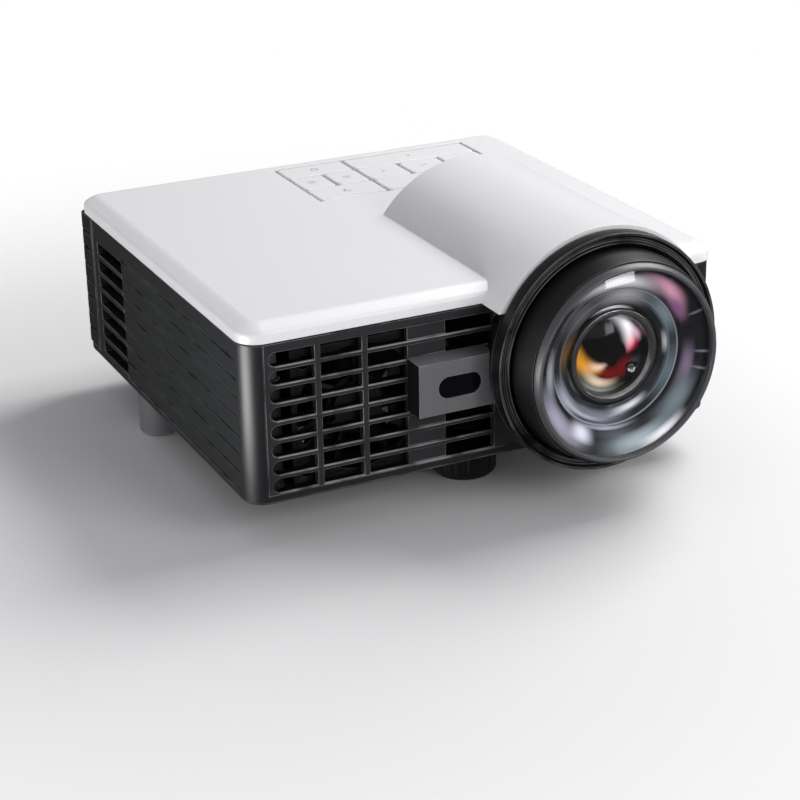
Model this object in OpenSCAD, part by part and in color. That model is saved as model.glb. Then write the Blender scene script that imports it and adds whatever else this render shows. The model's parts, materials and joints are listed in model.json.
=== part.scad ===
// Compact short-throw projector: dark vented case, white cover with a hump over the lens,
// wide lens with a focus ring, sensor housing, top keypad, rear sockets and what is inside.
// Origin: on the floor, at the middle of the whole outline. +X is the right side seen from
// the front, +Y goes to the back, +Z is up. The lens looks along -Y.

/* [Case] */
// Width of the cover and of the rear panel
case_w = 112; // [110:0.5:124]
// Depth of the cover, without the lens
case_d = 104; // [103:0.5:116]
// Height of the dark case
case_h = 35.2; // [35:0.2:40]
// Corner radius in plan
corner_r = 5; // [4:0.5:6.5]
// Corner radius of the rear panel
rear_r = 2; // [1:0.5:4]
// Wall of the dark case
wall = 2; // [1.6:0.1:2.4]
// Floor of the dark case
floor_t = 2; // [1.8:0.1:2.6]
// Step between the cover's edge and the dark case
case_inset = 0.3; // [0.1:0.1:0.6]
// Chamfer round the underside
under_bevel = 0.5; // [0.3:0.1:1.4]
// Height of the underside above the floor
foot_h = 10; // [9:0.5:14]

/* [Cover] */
// Shadow gap between the case and the cover
seam = 0.3; // [0.1:0.1:0.6]
// Height of the cover's upright lip
lip_h = 2.4; // [2:0.1:4]
// Width of the sloping band inside the lip
bevel_w = 3; // [2:0.1:3.8]
// Rise of the sloping band
bevel_h = 1.6; // [1:0.1:2.4]
// How far each turn of the cover's edge is rounded
edge_soft = 0.8; // [0.3:0.1:1.1]
// Wall of the cover
cover_wall = 1.8; // [1.4:0.1:2]

/* [Hump] */
// Radius of the hump over the lens
hump_r = 26.8; // [26.4:0.1:30]
// Length of the hump from the front face
hump_len = 53.5; // [44:0.5:58]
// Extra radius of the shroud round the lens
shroud_rim = 0.4; // [0.2:0.1:0.8]
// How far the shroud reaches out of the front
shroud_reach = 7.6; // [5.5:0.1:9]

/* [Vents] */
// Number of slot rows
row_count = 8; // [5:1:8]
// Underside of the case to the first front row
row_start = 2.45; // [2.3:0.05:3.2]
// Pitch of the front rows
row_pitch = 3.98; // [3.7:0.02:4.02]
// Height of a slot
slot_h = 3; // [2:0.05:3.1]
// Case side to the first front slot
slot_in = 5.5; // [5.4:0.1:6.5]
// Extra length of the first slot, for its round end
first_slot_more = 0.9; // [0.4:0.1:1.5]
// Bar between two slots
bar_w = 1.3; // [1:0.1:2]
// Lens axis to the left edge of the blank pad
pad_out = 41.55; // [40.5:0.05:42]
// Width of the blank pad between the slot groups
pad_w = 8.8; // [8:0.1:9.4]
// Depth of the blind rows on the pad
pad_row_t = 0.5; // [0.2:0.1:0.9]
// Width of the slots next to the lens
lens_slot_w = 11.4; // [8:0.1:11.5]
// Chamfer of a slot's lower edge
slot_bevel = 0.2; // [0.1:0.05:0.4]
// Case side to the seam of the grille
grille_in = 4.4; // [4:0.1:5]
// Underside of the case to the first side groove
groove_start = 2.2; // [1.8:0.1:2.6]
// Pitch of the side grooves
groove_pitch = 4.12; // [3.8:0.02:4.14]
// Width of a side groove
groove_w = 0.6; // [0.4:0.1:1]
// Depth of a side groove
groove_t = 0.5; // [0.3:0.1:0.9]
// Front face to the start of a side groove
groove_in = 5.5; // [5.2:0.1:8]
// Back face to the side vents
side_vent_back = 11.5; // [11:0.5:16]
// Length of the side vents
side_vent_len = 17; // [12:0.5:17]
// Length of the rear panel's wings
wing_len = 8.8; // [7:0.1:9]
// Depth of the wings' notches
notch_t = 0.6; // [0.3:0.1:0.9]

/* [Lens place] */
// Right side of the case to the lens axis
lens_in = 33.85; // [33:0.05:35]
// Underside of the case to the lens axis
lens_up = 23.7; // [23.4:0.1:25]
// Reach of the front glass out of the front face
lens_reach = 20; // [19.4:0.1:22]

/* [Lens barrel] */
// Radius of the collar at the front face
collar_foot_r = 23; // [22.6:0.1:23.4]
// Radius of the collar at its front
collar_r = 26.4; // [26:0.1:26.6]
// Radius of the collar's spigot, on which the focus ring turns
spigot_r = 24.9; // [24.85:0.05:25]
// Wall of the spigot
spigot_wall = 0.7; // [0.5:0.05:0.8]
// Length of the spigot
spigot_len = 2; // [1.4:0.1:2.2]
// Length of the focus ring
ring_len = 3.3; // [3:0.1:4]
// Outer radius of the focus ring
ring_r = 26.4; // [26.2:0.1:26.8]
// Radius of the ring's inner ridge, round the barrel
ridge_r = 24.4; // [24.2:0.1:24.6]
// Depth of the groove between the ring's two ridges
ridge_t = 0.6; // [0.3:0.1:0.7]
// Radius of the barrel behind its taper
barrel_r = 23.3; // [22.6:0.1:23.4]
// Radius of the barrel at its front
barrel_front_r = 22.3; // [22.1:0.1:22.6]
// Wall of the barrel
barrel_wall = 2.1; // [1.8:0.1:2.2]
// Radius of the barrel's rear sleeve
sleeve_r = 18; // [17:0.1:18.2]
// Wall of the sleeve
sleeve_wall = 1.6; // [1.2:0.1:2]
// Wall of the fixed tube round the sleeve
tube_wall = 1.6; // [1.2:0.1:2]
// Travel of the focus, each way
focus_travel = 0.8; // [0.4:0.1:1]

/* [Glass] */
// Radius of the front glass
glass_r = 20.5; // [19.8:0.1:20.6]
// Sphere radius of the front glass's outer face
glass_sphere = 96.6; // [80:0.2:120]
// Sphere radius of its inner face
glass_back_sphere = 110; // [100:1:130]
// Width of the rim round the front glass
rim_w = 1.4; // [1.2:0.1:1.5]
// Radius of the inner glass
inner_r = 8.95; // [8.4:0.05:9.2]
// Sphere radius of the inner glass
inner_sphere = 22; // [18:0.5:30]
// Radii of the baffle's steps, from the front in
step_r = [19.6, 17.1, 15.3, 13.7];
// Depths of the baffle's steps behind the glass seat
step_in = [0, 1, 1.6, 2.2];

/* [Sensor housing] */
// Lens axis to the left end of the housing
housing_out = 41.85; // [41.5:0.05:42.5]
// Underside of the case to the housing
housing_up = 14.9; // [14.8:0.1:15.4]
// Height of the housing
housing_h = 11.6; // [11:0.1:11.7]
// Reach of the housing out of the front face
housing_reach = 5.1; // [4.4:0.1:6.2]
// Wall of the housing
housing_wall = 1.2; // [1:0.1:1.4]
// Length of the sensor window
window_w = 9.8; // [8:0.1:10.2]
// Height of the sensor window
window_h = 4.6; // [4:0.1:5.2]
// Left end of the housing to the window
window_in = 4.7; // [4.4:0.1:5.2]
// How far the window sits behind the housing's face
window_sink = 0.3; // [0.1:0.1:0.5]

/* [Keypad] */
// Right side of the case to the keypad
key_right = 12.55; // [11.5:0.05:14]
// Back face of the cover to the keypad
key_back = 6; // [5.8:0.1:8]
// Width of the left column of keys
key_col_w = 17.7; // [14:0.1:18]
// Width of one key of the right cluster
key_w = 11.15; // [9:0.05:11.2]
// Depth of the front row of keys
key_front_d = 9.9; // [8:0.1:10]
// Depth of the middle row of keys
key_mid_d = 10; // [8:0.1:10.2]
// Depth of the back row of keys
key_back_d = 8.5; // [7:0.1:9]
// Gap between two keys
key_gap = 0.6; // [0.4:0.05:0.9]
// Thickness of a key
key_t = 1.8; // [1.4:0.1:2]
// Radius of the post under a key
key_post_r = 1.5; // [1:0.1:2]
// Travel of a key
key_travel = 0.4; // [0.2:0.05:0.5]

/* [Feet and tripod] */
// Front foot, right of the middle of the case
front_foot_x = 2; // [-2:0.5:4]
// Front face to the front foot
front_foot_in = 17; // [14:0.5:17]
// Radius of the front foot's wheel
foot_wheel_r = 7.25; // [6:0.25:8]
// Height of the front foot's wheel
foot_wheel_h = 6.4; // [5:0.1:6.6]
// Radius of the front foot's screw
stud_r = 3; // [2.5:0.1:3.2]
// Length of the front foot's screw
stud_len = 15.5; // [13:0.1:16]
// Radius of the brass insert for that screw
insert_r = 4.2; // [4:0.1:4.4]
// Side of the case to a rear foot's axis
rear_foot_in = 5.4; // [5.2:0.1:8]
// Front face to the rear feet
rear_foot_back = 70; // [66:0.5:84]
// Radius of a rear foot
rear_foot_r = 4.7; // [4:0.1:5]
// Tripod hole, right of the middle of the case
tripod_x = 0; // [-4:0.5:4]
// Back face to the tripod hole
tripod_in = 39.5; // [38:0.5:39.5]
// Radius of the tripod hole
tripod_r = 3.175; // [3:0.005:3.3]
// Depth of the tripod hole
tripod_len = 6.5; // [5:0.1:7]

/* [Sockets] */
// Card slot, from the middle, as a share of the case's width
card_at = 0.107; // [-0.03:0.001:0.17]
// Depth of the sockets
socket_d = 13; // [11:0.5:14]
// Bore of the power jack
power_bore_r = 2.8; // [2.5:0.05:3]
// Bore of the sound jack
sound_bore_r = 1.8; // [1.7:0.05:1.9]
// Clear size of the video socket
video_clear = [14, 4.6];
// Clear size of the data socket
data_clear = [13.1, 5.8];
// Clear size of the wide socket
wide_clear = [20, 4.6];
// Clear size of the card slot
card_clear = [11.4, 1.1];
// Sheet of a socket's shell
socket_wall = 0.5; // [0.3:0.05:0.6]

/* [Boards and light engine] */
// Thickness of a circuit board
board_t = 1.6; // [1:0.1:2]
// Height of the main board's posts
standoff_h = 6; // [5.6:0.1:7]
// Left side of the case to the main board
board_left_in = 20; // [20:0.5:22]
// Right side of the case to the main board
board_right_in = 11; // [11:0.5:13]
// Depth of the main board
board_d = 33; // [30:0.5:33.5]
// Lens axis to the engine's left side
engine_left = 35; // [33:0.5:35.5]
// Lens axis to the engine's right side
engine_right = 22; // [21.8:0.1:24]
// Front face to the engine
engine_in = 24; // [23.6:0.1:25]
// Keypad board to the engine's back
engine_gap = 8.2; // [7.8:0.1:10]
// Height of the engine below its lid
engine_h = 32; // [30:0.2:32.4]
// Wall of the engine
engine_wall = 2; // [1.6:0.1:2.4]
// Lid of the engine
lid_t = 1.6; // [1:0.1:1.8]
// Edge of the prism
prism_w = 14; // [12:0.5:15]
// Side of a fan
fan_w = 30; // [28:0.5:30]
// Thickness of a fan
fan_t = 8; // [7:0.5:8.4]
// Blades of a fan
blade_count = 7; // [5:1:9]
// Exhaust fan to the tips of the heat sink's fins
fin_gap = 1.95; // [1.4:0.05:8]
// Number of fins
fin_count = 9; // [6:1:10]
// Thickness of a fin
fin_t = 1; // [0.6:0.1:1.4]
// Height of the heat sinks
sink_h = 28; // [26:0.5:30]

/* [Screws] */
// Shank radius of a case screw
screw_r = 1.25; // [1:0.05:1.4]
// Head radius of a case screw
screw_head_r = 2.3; // [2:0.1:2.4]
// Radius of the case's screw posts
post_r = 3.6; // [3.4:0.1:3.8]
// Shank radius of a board screw
small_r = 0.9; // [0.7:0.05:1]

/* [Fits] */
// Radial clearance of what turns or slides in a bore
run_fit = 0.05; // [0.03:0.01:0.08]
// Clearance of a fixed piece in its seat
seat_fit = 0.1; // [0.05:0.01:0.15]
// Gap between parts that move past each other
move_gap = 0.3; // [0.25:0.01:0.4]

/* [Hidden] */

$fn = 64;
// Facets of the large lens spheres
fine = 360;
// A little extra, so that a cut passes its surface
eps = 0.5;

// Planes of the case
x_side = case_w / 2;
y_front = -(case_d - lens_reach) / 2;
y_back = y_front + case_d;
y_mid = (y_front + y_back) / 2;
z_under = foot_h;
z_floor = z_under + floor_t;
z_case = z_under + case_h;
z_lip = z_case + seam;
z_top = z_lip + lip_h + bevel_h;
z_ceiling = z_top - cover_wall;
x_inner = x_side - case_inset - wall;
y_skin = y_front + case_inset;
y_panel = y_skin + wall;
y_rear_inner = y_back - wall;

// Lens axis and stations along it, measured out of the front face
lens_x = x_side - lens_in;
lens_z = z_under + lens_up;
plate_front = 2;
ring_back = shroud_reach + move_gap;
ring_front = ring_back + ring_len;
cone_back = 5;
flange_t = 2;
inner_edge = cone_back + flange_t + 3.2;
inner_seat = cone_back + flange_t + 5.2;
barrel_front = lens_reach - 2.4;
rim_front = barrel_front + 1.6;
glass_seat = barrel_front - 0.4;
sleeve_back = -10;
tube_stop = sleeve_back - focus_travel - 1;
tube_r = sleeve_r + run_fit + tube_wall;
tube_flange_r = tube_r + 1.4;
tube_end_r = sleeve_r - 4;
tube_back = -engine_in;
collar_in_r = spigot_r - spigot_wall;

// Front slots and sensor housing
x_slots = -x_side + slot_in;
x_pad = lens_x - pad_out;
slot_w = (x_pad - x_slots - 2 * bar_w - first_slot_more) / 3;
housing_x = lens_x - housing_out;
housing_z = z_under + housing_up;
housing_w = housing_out - collar_foot_r - 1.15;
housing_front = y_front - housing_reach;
window_x = housing_x + window_in;
window_z = housing_z + housing_h / 2 - 0.1;
window_flange = 0.5;
window_flange_t = 0.8;

// Keypad
key_left = x_side - key_right - key_col_w - 3 * key_w;
key_y0 = y_back - key_back - key_back_d - key_mid_d - key_front_d;
key_y1 = key_y0 + key_front_d;
key_y2 = key_y1 + key_mid_d;
key_y3 = key_y2 + key_back_d;
key_x1 = key_left + key_col_w;
key_x2 = key_x1 + key_w;
key_x3 = key_x2 + key_w;
key_x4 = key_x3 + key_w;
key_corner = 1;
key_edge = 0.2;
key_board_z = z_top - 8.5;
switch_h = 1;
switch_w = 4;
keyboard_side = 2;
keyboard_front = 4.4;
keyboard_rear = 3.8;
keyboard_boss_r = 1.6;
keyboard_boss_in = 2;
keyboard_front_hole = key_gap + keyboard_boss_r + 0.3;

// Main board and sockets
card_x = card_at * case_w;
board_left = -x_side + board_left_in;
board_right = x_side - board_right_in;
board_z = z_floor + standoff_h;
board_top = board_z + board_t;
board_y1 = y_rear_inner - 1.5;
board_y0 = board_y1 - board_d;
board_hole_in = 4;
board_hole_rear = 13;
standoff_r = 2.5;
socket_y = y_back - 0.3;
socket_gap = 0.3;
power_jack_size = [9, 9];
sound_jack_size = [7, 6];
socket_widths = [
    power_jack_size[0],
    sound_jack_size[0],
    shell_size(video_clear)[0],
    shell_size(data_clear)[0],
    shell_size(wide_clear)[0]
];
jack_back_t = 2;
socket_back_t = 2;

// Light engine
engine_x0 = lens_x - engine_left;
engine_x1 = lens_x + engine_right;
engine_y0 = y_front + engine_in;
engine_y1 = key_y0 - keyboard_front - engine_gap;
engine_d = engine_y1 - engine_y0;
engine_z1 = z_floor + engine_h;
prism_y0 = engine_y0 + 6;
led_z = z_floor + 16;
lamp_pitch = engine_d / 3;
led_board = [lamp_pitch - 0.2, 18];
red_y = engine_y0 + 0.26 * engine_d;
green_y = red_y + lamp_pitch;
blue_x = engine_x0 + 21.2;
beam_r = 0.36 * lamp_pitch;
holder_t = 0.54 * lamp_pitch;
holder_h = 22;
holder_w = lamp_pitch + 1;
lens_cell_r = 0.41 * lamp_pitch;
sink_base_t = 3;
sink_d = 30;
sink_x1 = engine_x0 - board_t;
pipe_r = 1.5;
pipe_bend = 6;
sink_x0 = -x_inner + move_gap + fan_t + fin_gap;
pipe_x = sink_x1 - sink_base_t - 4.5;
pipe_pad_t = 2;
pipe_y = engine_y1 + board_t + pipe_pad_t + pipe_r;
chip_sink_w = 22;
chip_sink_d = 6;

// Fans and speaker
fan_hub_r = 6.5;
fan_pin_r = 1;
fan_bore = fan_w / 2 - 1.2;
side_vent_y0 = y_back - side_vent_back - side_vent_len;
side_vent_y = side_vent_y0 + side_vent_len / 2;
speaker_w = 22;

// Feet, screw posts and screws
front_foot_y = y_front + front_foot_in;
rear_foot_y = y_front + rear_foot_back;
tripod_y = y_back - tripod_in;
insert_len = 8;
foot_boss_r = insert_r + 0.8;
tripod_boss_r = tripod_r + 3;
foot_floor = 2;
post_side_in = case_inset + wall + post_r + 0.6;
post_rear_in = wall + post_r + seat_fit;
post_left_shift = 9.5;
post_top = z_case - 9.2;
intake_x = -x_side + post_side_in + post_r + 0.9 + fan_w / 2;
post_web = 3;
screw_head_h = 1.8;
screw_len = 9;
cover_boss_r = 3;
small_len = 5.2;
small_head_r = 1.8;
small_head_h = 1;
post_places = [
    [-x_side + post_side_in, y_front + post_side_in],
    [x_side - post_side_in, y_front + post_side_in],
    [-x_side + post_side_in + post_left_shift, y_back - post_rear_in],
    [x_side - post_side_in, y_back - post_rear_in]
];

// Sockets stand in a row between the rear posts, with equal gaps
sockets_x0 = -x_side + post_side_in + post_left_shift + post_r;
sockets_x1 = x_side - post_side_in - post_r;
socket_space = (sockets_x1 - sockets_x0 - width_before(5)) / 6;
power_jack_x = socket_middle(0);
sound_jack_x = socket_middle(1);
video_x = socket_middle(2);
data_x = socket_middle(3);
wide_x = socket_middle(4);

// Screws of the two boards
board_holes = [
    for (x = [board_left + board_hole_in, board_right - board_hole_in])
        for (y = [board_y0 + board_hole_in, board_y1 - board_hole_rear]) [x, y]
];
keyboard_holes = [
    for (x = [key_left + keyboard_boss_in, key_x4 - keyboard_boss_in])
        for (y = [key_y0 - keyboard_front_hole, key_y3 + key_gap + keyboard_boss_r]) [x, y]
];

// Width of the first n sockets together
function width_before(n) = n == 0 ? 0 : socket_widths[n - 1] + width_before(n - 1);

// Middle of a socket in the row
function socket_middle(n) =
    sockets_x0 + (n + 1) * socket_space + width_before(n) + socket_widths[n] / 2;

// Height of a front slot row
function row_z(i) = z_under + row_start + i * row_pitch;

// Height of a side groove's middle
function groove_z(i) = z_under + groove_start + i * groove_pitch;

// True where the sensor housing covers the middle of a front row or reaches into it from above
function row_hidden(i) =
    row_z(i) + slot_h > z_under + housing_up
    && row_z(i) + slot_h / 2 < z_under + housing_up + housing_h;

// Rounded rectangle round the origin
module rounded_rect(w, d, r) {
    square([w - 2 * r, d], center = true);
    square([w, d - 2 * r], center = true);
    for (x = [-1, 1], y = [-1, 1]) {
        translate([x * (w / 2 - r), y * (d / 2 - r)]) circle(r);
    }
}

// Rounded slab between two heights
module plan_slab(w, d, r, z_low, z_high) {
    translate([0, y_mid, z_low]) linear_extrude(z_high - z_low) rounded_rect(w, d, r);
}

// Two opposite sides of a slab that follows an edge profile
module edge_pair(w, d, r, profile) {
    low = profile[0][1];
    high = profile[len(profile) - 1][1];
    strip = concat([[0, low]], [for (p = profile) [r - p[0], p[1]]], [[0, high]]);
    for (side = [0, 1]) {
        mirror([side, 0, 0])
            translate([w / 2 - r, d / 2 - r, 0])
            rotate([90, 0, 0])
            linear_extrude(d - 2 * r)
            polygon(strip);
    }
}

// Points that round the turn at b, on the way from a to c, over a reach on both sides of it
function soft_turn(a, b, c, reach) =
    let (
        steps = 4,
        start = b + (a - b) * reach / norm(a - b),
        end = b + (c - b) * reach / norm(c - b)
    )
    [for (i = [0:steps])
        let (t = i / steps)
        (1 - t) * (1 - t) * start + 2 * t * (1 - t) * b + t * t * end];

// Rounded slab round the case's middle, its edge a profile of [inset, height] points
module edge_slab(w, d, r, profile) {
    low = profile[0][1];
    high = profile[len(profile) - 1][1];
    turned = concat([[0, low]], [for (p = profile) [r - p[0], p[1]]], [[0, high]]);
    translate([0, y_mid, 0]) {
        edge_pair(w, d, r, profile);
        rotate(90) edge_pair(d, w, r, profile);
        translate([-w / 2 + r, -d / 2 + r, low]) cube([w - 2 * r, d - 2 * r, high - low]);
        for (x = [0, 1], y = [0, 1]) {
            mirror([x, 0, 0])
                mirror([0, y, 0])
                translate([w / 2 - r, d / 2 - r, 0])
                rotate_extrude(angle = 90)
                polygon(turned);
        }
    }
}

// Puts a child whose +Z points out of the lens onto the lens axis
module on_lens() {
    translate([lens_x, y_front, lens_z]) rotate([90, 0, 0]) children();
}

// Ring or cone round the lens axis, from [radius, distance out of the face] points
module lens_ring(points) {
    on_lens() rotate_extrude($fn = 128) polygon(points);
}

// Cylinder on the lens axis between two stations
module lens_rod(r, from, to) {
    on_lens() translate([0, 0, from]) cylinder(r = r, h = to - from, $fn = 128);
}

// Slot through a wall that faces -Y, its lower edge chamfered at the front
module front_slot(x, z, w, y, depth) {
    side = [
        [y - eps, z - slot_bevel - eps],
        [y, z - slot_bevel],
        [y + slot_bevel, z],
        [y + depth, z],
        [y + depth, z + slot_h],
        [y - eps, z + slot_h]
    ];
    translate([x, 0, 0]) rotate([90, 0, 90]) linear_extrude(w) polygon(side);
}

// Dark tub of the case
module lower_case() {
    color("#2a2c2e") difference() {
        union() {
            case_tub();
            case_posts();
        }
        case_holes();
    }
}

module case_tub() {
    outer_w = case_w - 2 * case_inset;
    outer_d = case_d - 2 * case_inset;
    outer_r = corner_r - case_inset;
    difference() {
        union() {
            edge_slab(outer_w, outer_d, outer_r,
                [[under_bevel, z_under], [0, z_under + under_bevel], [0, z_case]]);
            intersection() {
                plan_slab(outer_w, outer_d, rear_r, z_under + under_bevel, z_floor);
                translate([-x_side, y_back - wing_len, z_under]) cube([case_w, wing_len, case_h]);
            }
        }
        plan_slab(outer_w - 2 * wall, outer_d - 2 * wall, outer_r - wall, z_floor, z_case + eps);
        translate([-x_side + grille_in, y_front - eps, z_floor])
            cube([case_w - 2 * grille_in, wall + case_inset + 2 * eps, case_h]);
        translate([-x_side, y_back - wing_len, z_floor]) cube([case_w, wing_len, case_h]);
        for (side = [0, 1]) {
            mirror([side, 0, 0]) side_rows();
        }
    }
}

// Grooves and vent slots of the left wall
module side_rows() {
    x_out = -x_side + case_inset;
    for (i = [0:row_count - 1]) {
        translate([x_out - eps, y_front + groove_in, groove_z(i) - groove_w / 2])
            cube([eps + groove_t, side_vent_y0 - y_front - groove_in, groove_w]);
        if (i < row_count - 1) {
            translate([x_out - eps, side_vent_y0, groove_z(i) + groove_w])
                cube([wall + 2 * eps, side_vent_len, groove_pitch - 2 * groove_w]);
        }
    }
}

module case_posts() {
    for (p = post_places) {
        translate([p.x, p.y, z_floor - eps]) cylinder(r = post_r, h = post_top - z_floor + eps);
    }
    for (p = board_holes) {
        translate([p.x, p.y, z_floor - eps]) cylinder(r = standoff_r, h = standoff_h + eps);
    }
    translate([front_foot_x, front_foot_y, z_under]) cylinder(r = foot_boss_r, h = insert_len);
    translate([tripod_x, tripod_y, z_under]) cylinder(r = tripod_boss_r, h = tripod_len + 1);
}

module case_holes() {
    for (p = post_places) {
        translate([p.x, p.y, z_under - eps]) cylinder(r = screw_r + seat_fit, h = case_h);
        translate([p.x, p.y, z_under - eps])
            cylinder(r = screw_head_r + seat_fit, h = post_top - post_web - z_under + eps);
    }
    for (p = board_holes) {
        translate([p.x, p.y, z_floor]) cylinder(r = small_r + run_fit, h = standoff_h + eps);
    }
    translate([front_foot_x, front_foot_y, z_under - eps])
        cylinder(r = insert_r + run_fit, h = insert_len + 2 * eps);
    translate([tripod_x, tripod_y, z_under - eps])
        cylinder(r = tripod_r + 1 + run_fit, h = tripod_len + eps);
    floor_vents();
}

// Intake slots under the heat sink
module floor_vents() {
    vents = 6;
    vent_pitch = (sink_x1 - sink_x0) / (vents + 1);
    vent_d = sink_d * 2 / 3;
    for (i = [1:vents]) {
        translate([sink_x0 + (i - 0.5) * vent_pitch, engine_y0 + 4, z_under - eps])
            cube([vent_pitch / 2, vent_d, floor_t + 2 * eps]);
    }
}

// White cover with the hump and the shroud
module top_cover() {
    color("whitesmoke") difference() {
        union() {
            cover_shell();
            cover_bosses();
        }
        translate([key_left - key_gap / 2, key_y0 - key_gap / 2, z_ceiling - eps])
            linear_extrude(cover_wall + 2 * eps)
            square([key_x4 - key_left + key_gap, key_y3 - key_y0 + key_gap]);
    }
}

module cover_shell() {
    inner_w = case_w - 2 * cover_wall;
    inner_d = case_d - 2 * cover_wall;
    shroud_r = hump_r + shroud_rim;
    low = [0, z_lip];
    turn = [0, z_lip + lip_h];
    crest = [bevel_w, z_top];
    flat = [corner_r, z_top];
    difference() {
        union() {
            edge_slab(case_w, case_d, corner_r, concat(
                [low],
                soft_turn(low, turn, crest, edge_soft),
                soft_turn(turn, crest, flat, min(edge_soft, corner_r - bevel_w - 0.1))
            ));
            above_lip() lens_rod(hump_r, -hump_len, 0);
            above_lip() lens_rod(shroud_r, -case_inset, shroud_reach);
        }
        plan_slab(inner_w, inner_d, corner_r - cover_wall, z_lip - eps, z_ceiling);
        above_lip(eps) lens_rod(hump_r - cover_wall, -hump_len + cover_wall, -case_inset);
        above_lip(eps) lens_rod(shroud_r - cover_wall, -cover_wall - case_inset, shroud_reach + eps);
    }
}

// Keeps only what lies above the cover's lower edge
module above_lip(extra = 0) {
    intersection() {
        children();
        translate([-x_side, y_front - shroud_reach - 2 * eps, z_lip - extra])
            cube([case_w, case_d + shroud_reach + 3 * eps, hump_r * 2]);
    }
}

module cover_bosses() {
    for (p = post_places) {
        difference() {
            translate([p.x, p.y, post_top]) cylinder(r = cover_boss_r, h = z_ceiling - post_top + eps);
            translate([p.x, p.y, post_top - eps])
                cylinder(r = screw_r + run_fit, h = screw_len - post_web + 1);
        }
    }
    for (p = keyboard_holes) {
        difference() {
            translate([p.x, p.y, key_board_z + board_t])
                cylinder(r = keyboard_boss_r, h = z_ceiling - key_board_z - board_t + eps);
            translate([p.x, p.y, key_board_z]) cylinder(r = small_r + run_fit, h = small_len + 1);
        }
    }
}

// Slotted panel of the front
module front_grille() {
    x0 = -x_side + grille_in + seat_fit;
    u_r = tube_r + move_gap;
    color("#1d1e20") difference() {
        translate([x0, y_skin, z_floor]) cube([-2 * x0, wall, z_case - z_floor]);
        for (i = [0:row_count - 1]) {
            front_row(i);
        }
        lens_rod(u_r, -wall - case_inset - eps, eps);
        translate([lens_x - u_r, y_front - eps, lens_z])
            cube([2 * u_r, wall + case_inset + 2 * eps, case_h]);
    }
}

// One row of the front's slots
module front_row(i) {
    first_w = slot_w + first_slot_more;
    end_r = slot_h / 2;
    z = row_z(i);
    through = wall + eps;
    front_slot(x_slots + end_r, z, first_w - end_r, y_skin, through);
    translate([x_slots + end_r, y_skin - eps, z + end_r])
        rotate([-90, 0, 0])
        cylinder(r = end_r, h = through + eps);
    front_slot(x_pad - 2 * slot_w - bar_w, z, slot_w, y_skin, through);
    front_slot(x_pad - slot_w, z, slot_w, y_skin, through);
    if (!row_hidden(i)) {
        front_slot(x_pad, z, pad_w, y_skin, pad_row_t);
        front_slot(x_pad + pad_w, z, lens_slot_w, y_skin, through);
    }
}

// Back panel, which wraps round the rear corners
module rear_panel() {
    color("#2a2c2e") difference() {
        plan_slab(case_w, case_d, rear_r, z_floor, z_case);
        plan_slab(case_w - 2 * wall - 2 * case_inset, case_d - 2 * wall,
            corner_r - wall, z_floor - eps, z_case + eps);
        translate([-x_side - eps, y_front - eps, z_floor - eps])
            cube([case_w + 2 * eps, case_d - wing_len + seat_fit + eps, case_h]);
        for (side = [0, 1]) {
            mirror([side, 0, 0]) wing_notches();
        }
        socket_hole(power_jack_x, power_jack_size, board_top);
        socket_hole(sound_jack_x, sound_jack_size, board_top);
        socket_hole(video_x, shell_size(video_clear), board_top);
        socket_hole(data_x, shell_size(data_clear), board_top);
        socket_hole(wide_x, shell_size(wide_clear), board_top);
        socket_hole(card_x, shell_size(card_clear), board_z - shell_size(card_clear)[1]);
    }
}

function shell_size(clear) = [clear[0] + 2 * socket_wall, clear[1] + 2 * socket_wall];

// Notches and chamfered front edge of the left wing
module wing_notches() {
    wing_bevel = 0.8;
    for (i = [0:row_count - 1]) {
        translate([-x_side - eps, y_back - wing_len + wing_bevel + 1.2, groove_z(i) - groove_w / 2])
            cube([eps + notch_t, wing_len - wing_bevel - 1.2 - rear_r / 2, groove_w]);
    }
    translate([-x_side, y_back - wing_len, z_floor - eps])
        rotate(45)
        cube([wing_bevel, wing_bevel, 2 * case_h], center = true);
}

module socket_hole(x, size, z) {
    translate([x - size[0] / 2 - socket_gap, y_rear_inner - eps, z - socket_gap])
        cube([size[0] + 2 * socket_gap, wall + 2 * eps, size[1] + 2 * socket_gap]);
}

// Housing of the remote control's sensor, on the grille
module sensor_housing() {
    pocket_w = window_in + window_w + window_flange + seat_fit - housing_wall;
    color("#303235") difference() {
        translate([housing_x, housing_front, housing_z])
            cube([housing_w, housing_reach + case_inset, housing_h]);
        translate([housing_x, housing_front, housing_z])
            translate([housing_wall, housing_wall, housing_wall])
            cube([pocket_w, housing_reach + eps, housing_h - 2 * housing_wall]);
        window_cut(seat_fit, eps, housing_wall + eps);
        lens_ring([
            [0, -1],
            [cone_r(-1) + seat_fit, -1],
            [cone_r(shroud_reach) + seat_fit, shroud_reach],
            [0, shroud_reach]
        ]);
    }
}

// Radius of the collar's cone at a station out of the face
function cone_r(y) =
    collar_foot_r + (collar_r - collar_foot_r) * (y + case_inset) / (shroud_reach + case_inset);

// Long window with round ends, grown by a clearance
module window_cut(grow, out, depth) {
    half = window_h / 2;
    translate([window_x, housing_front + depth, window_z])
        rotate([90, 0, 0])
        linear_extrude(depth + out) {
            translate([half, -half - grow]) square([window_w - window_h, window_h + 2 * grow]);
            translate([half, 0]) circle(half + grow);
            translate([window_w - half, 0]) circle(half + grow);
        }
}

// Dark window with the flange that holds it
module ir_window() {
    flange_h = window_h + 2 * window_flange_t;
    color("#0a0a10") {
        window_cut(0, -window_sink, housing_wall);
        translate([window_x - window_flange, housing_front + housing_wall, window_z - flange_h / 2])
            cube([window_w + 2 * window_flange, window_flange_t, flange_h]);
    }
}

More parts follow.
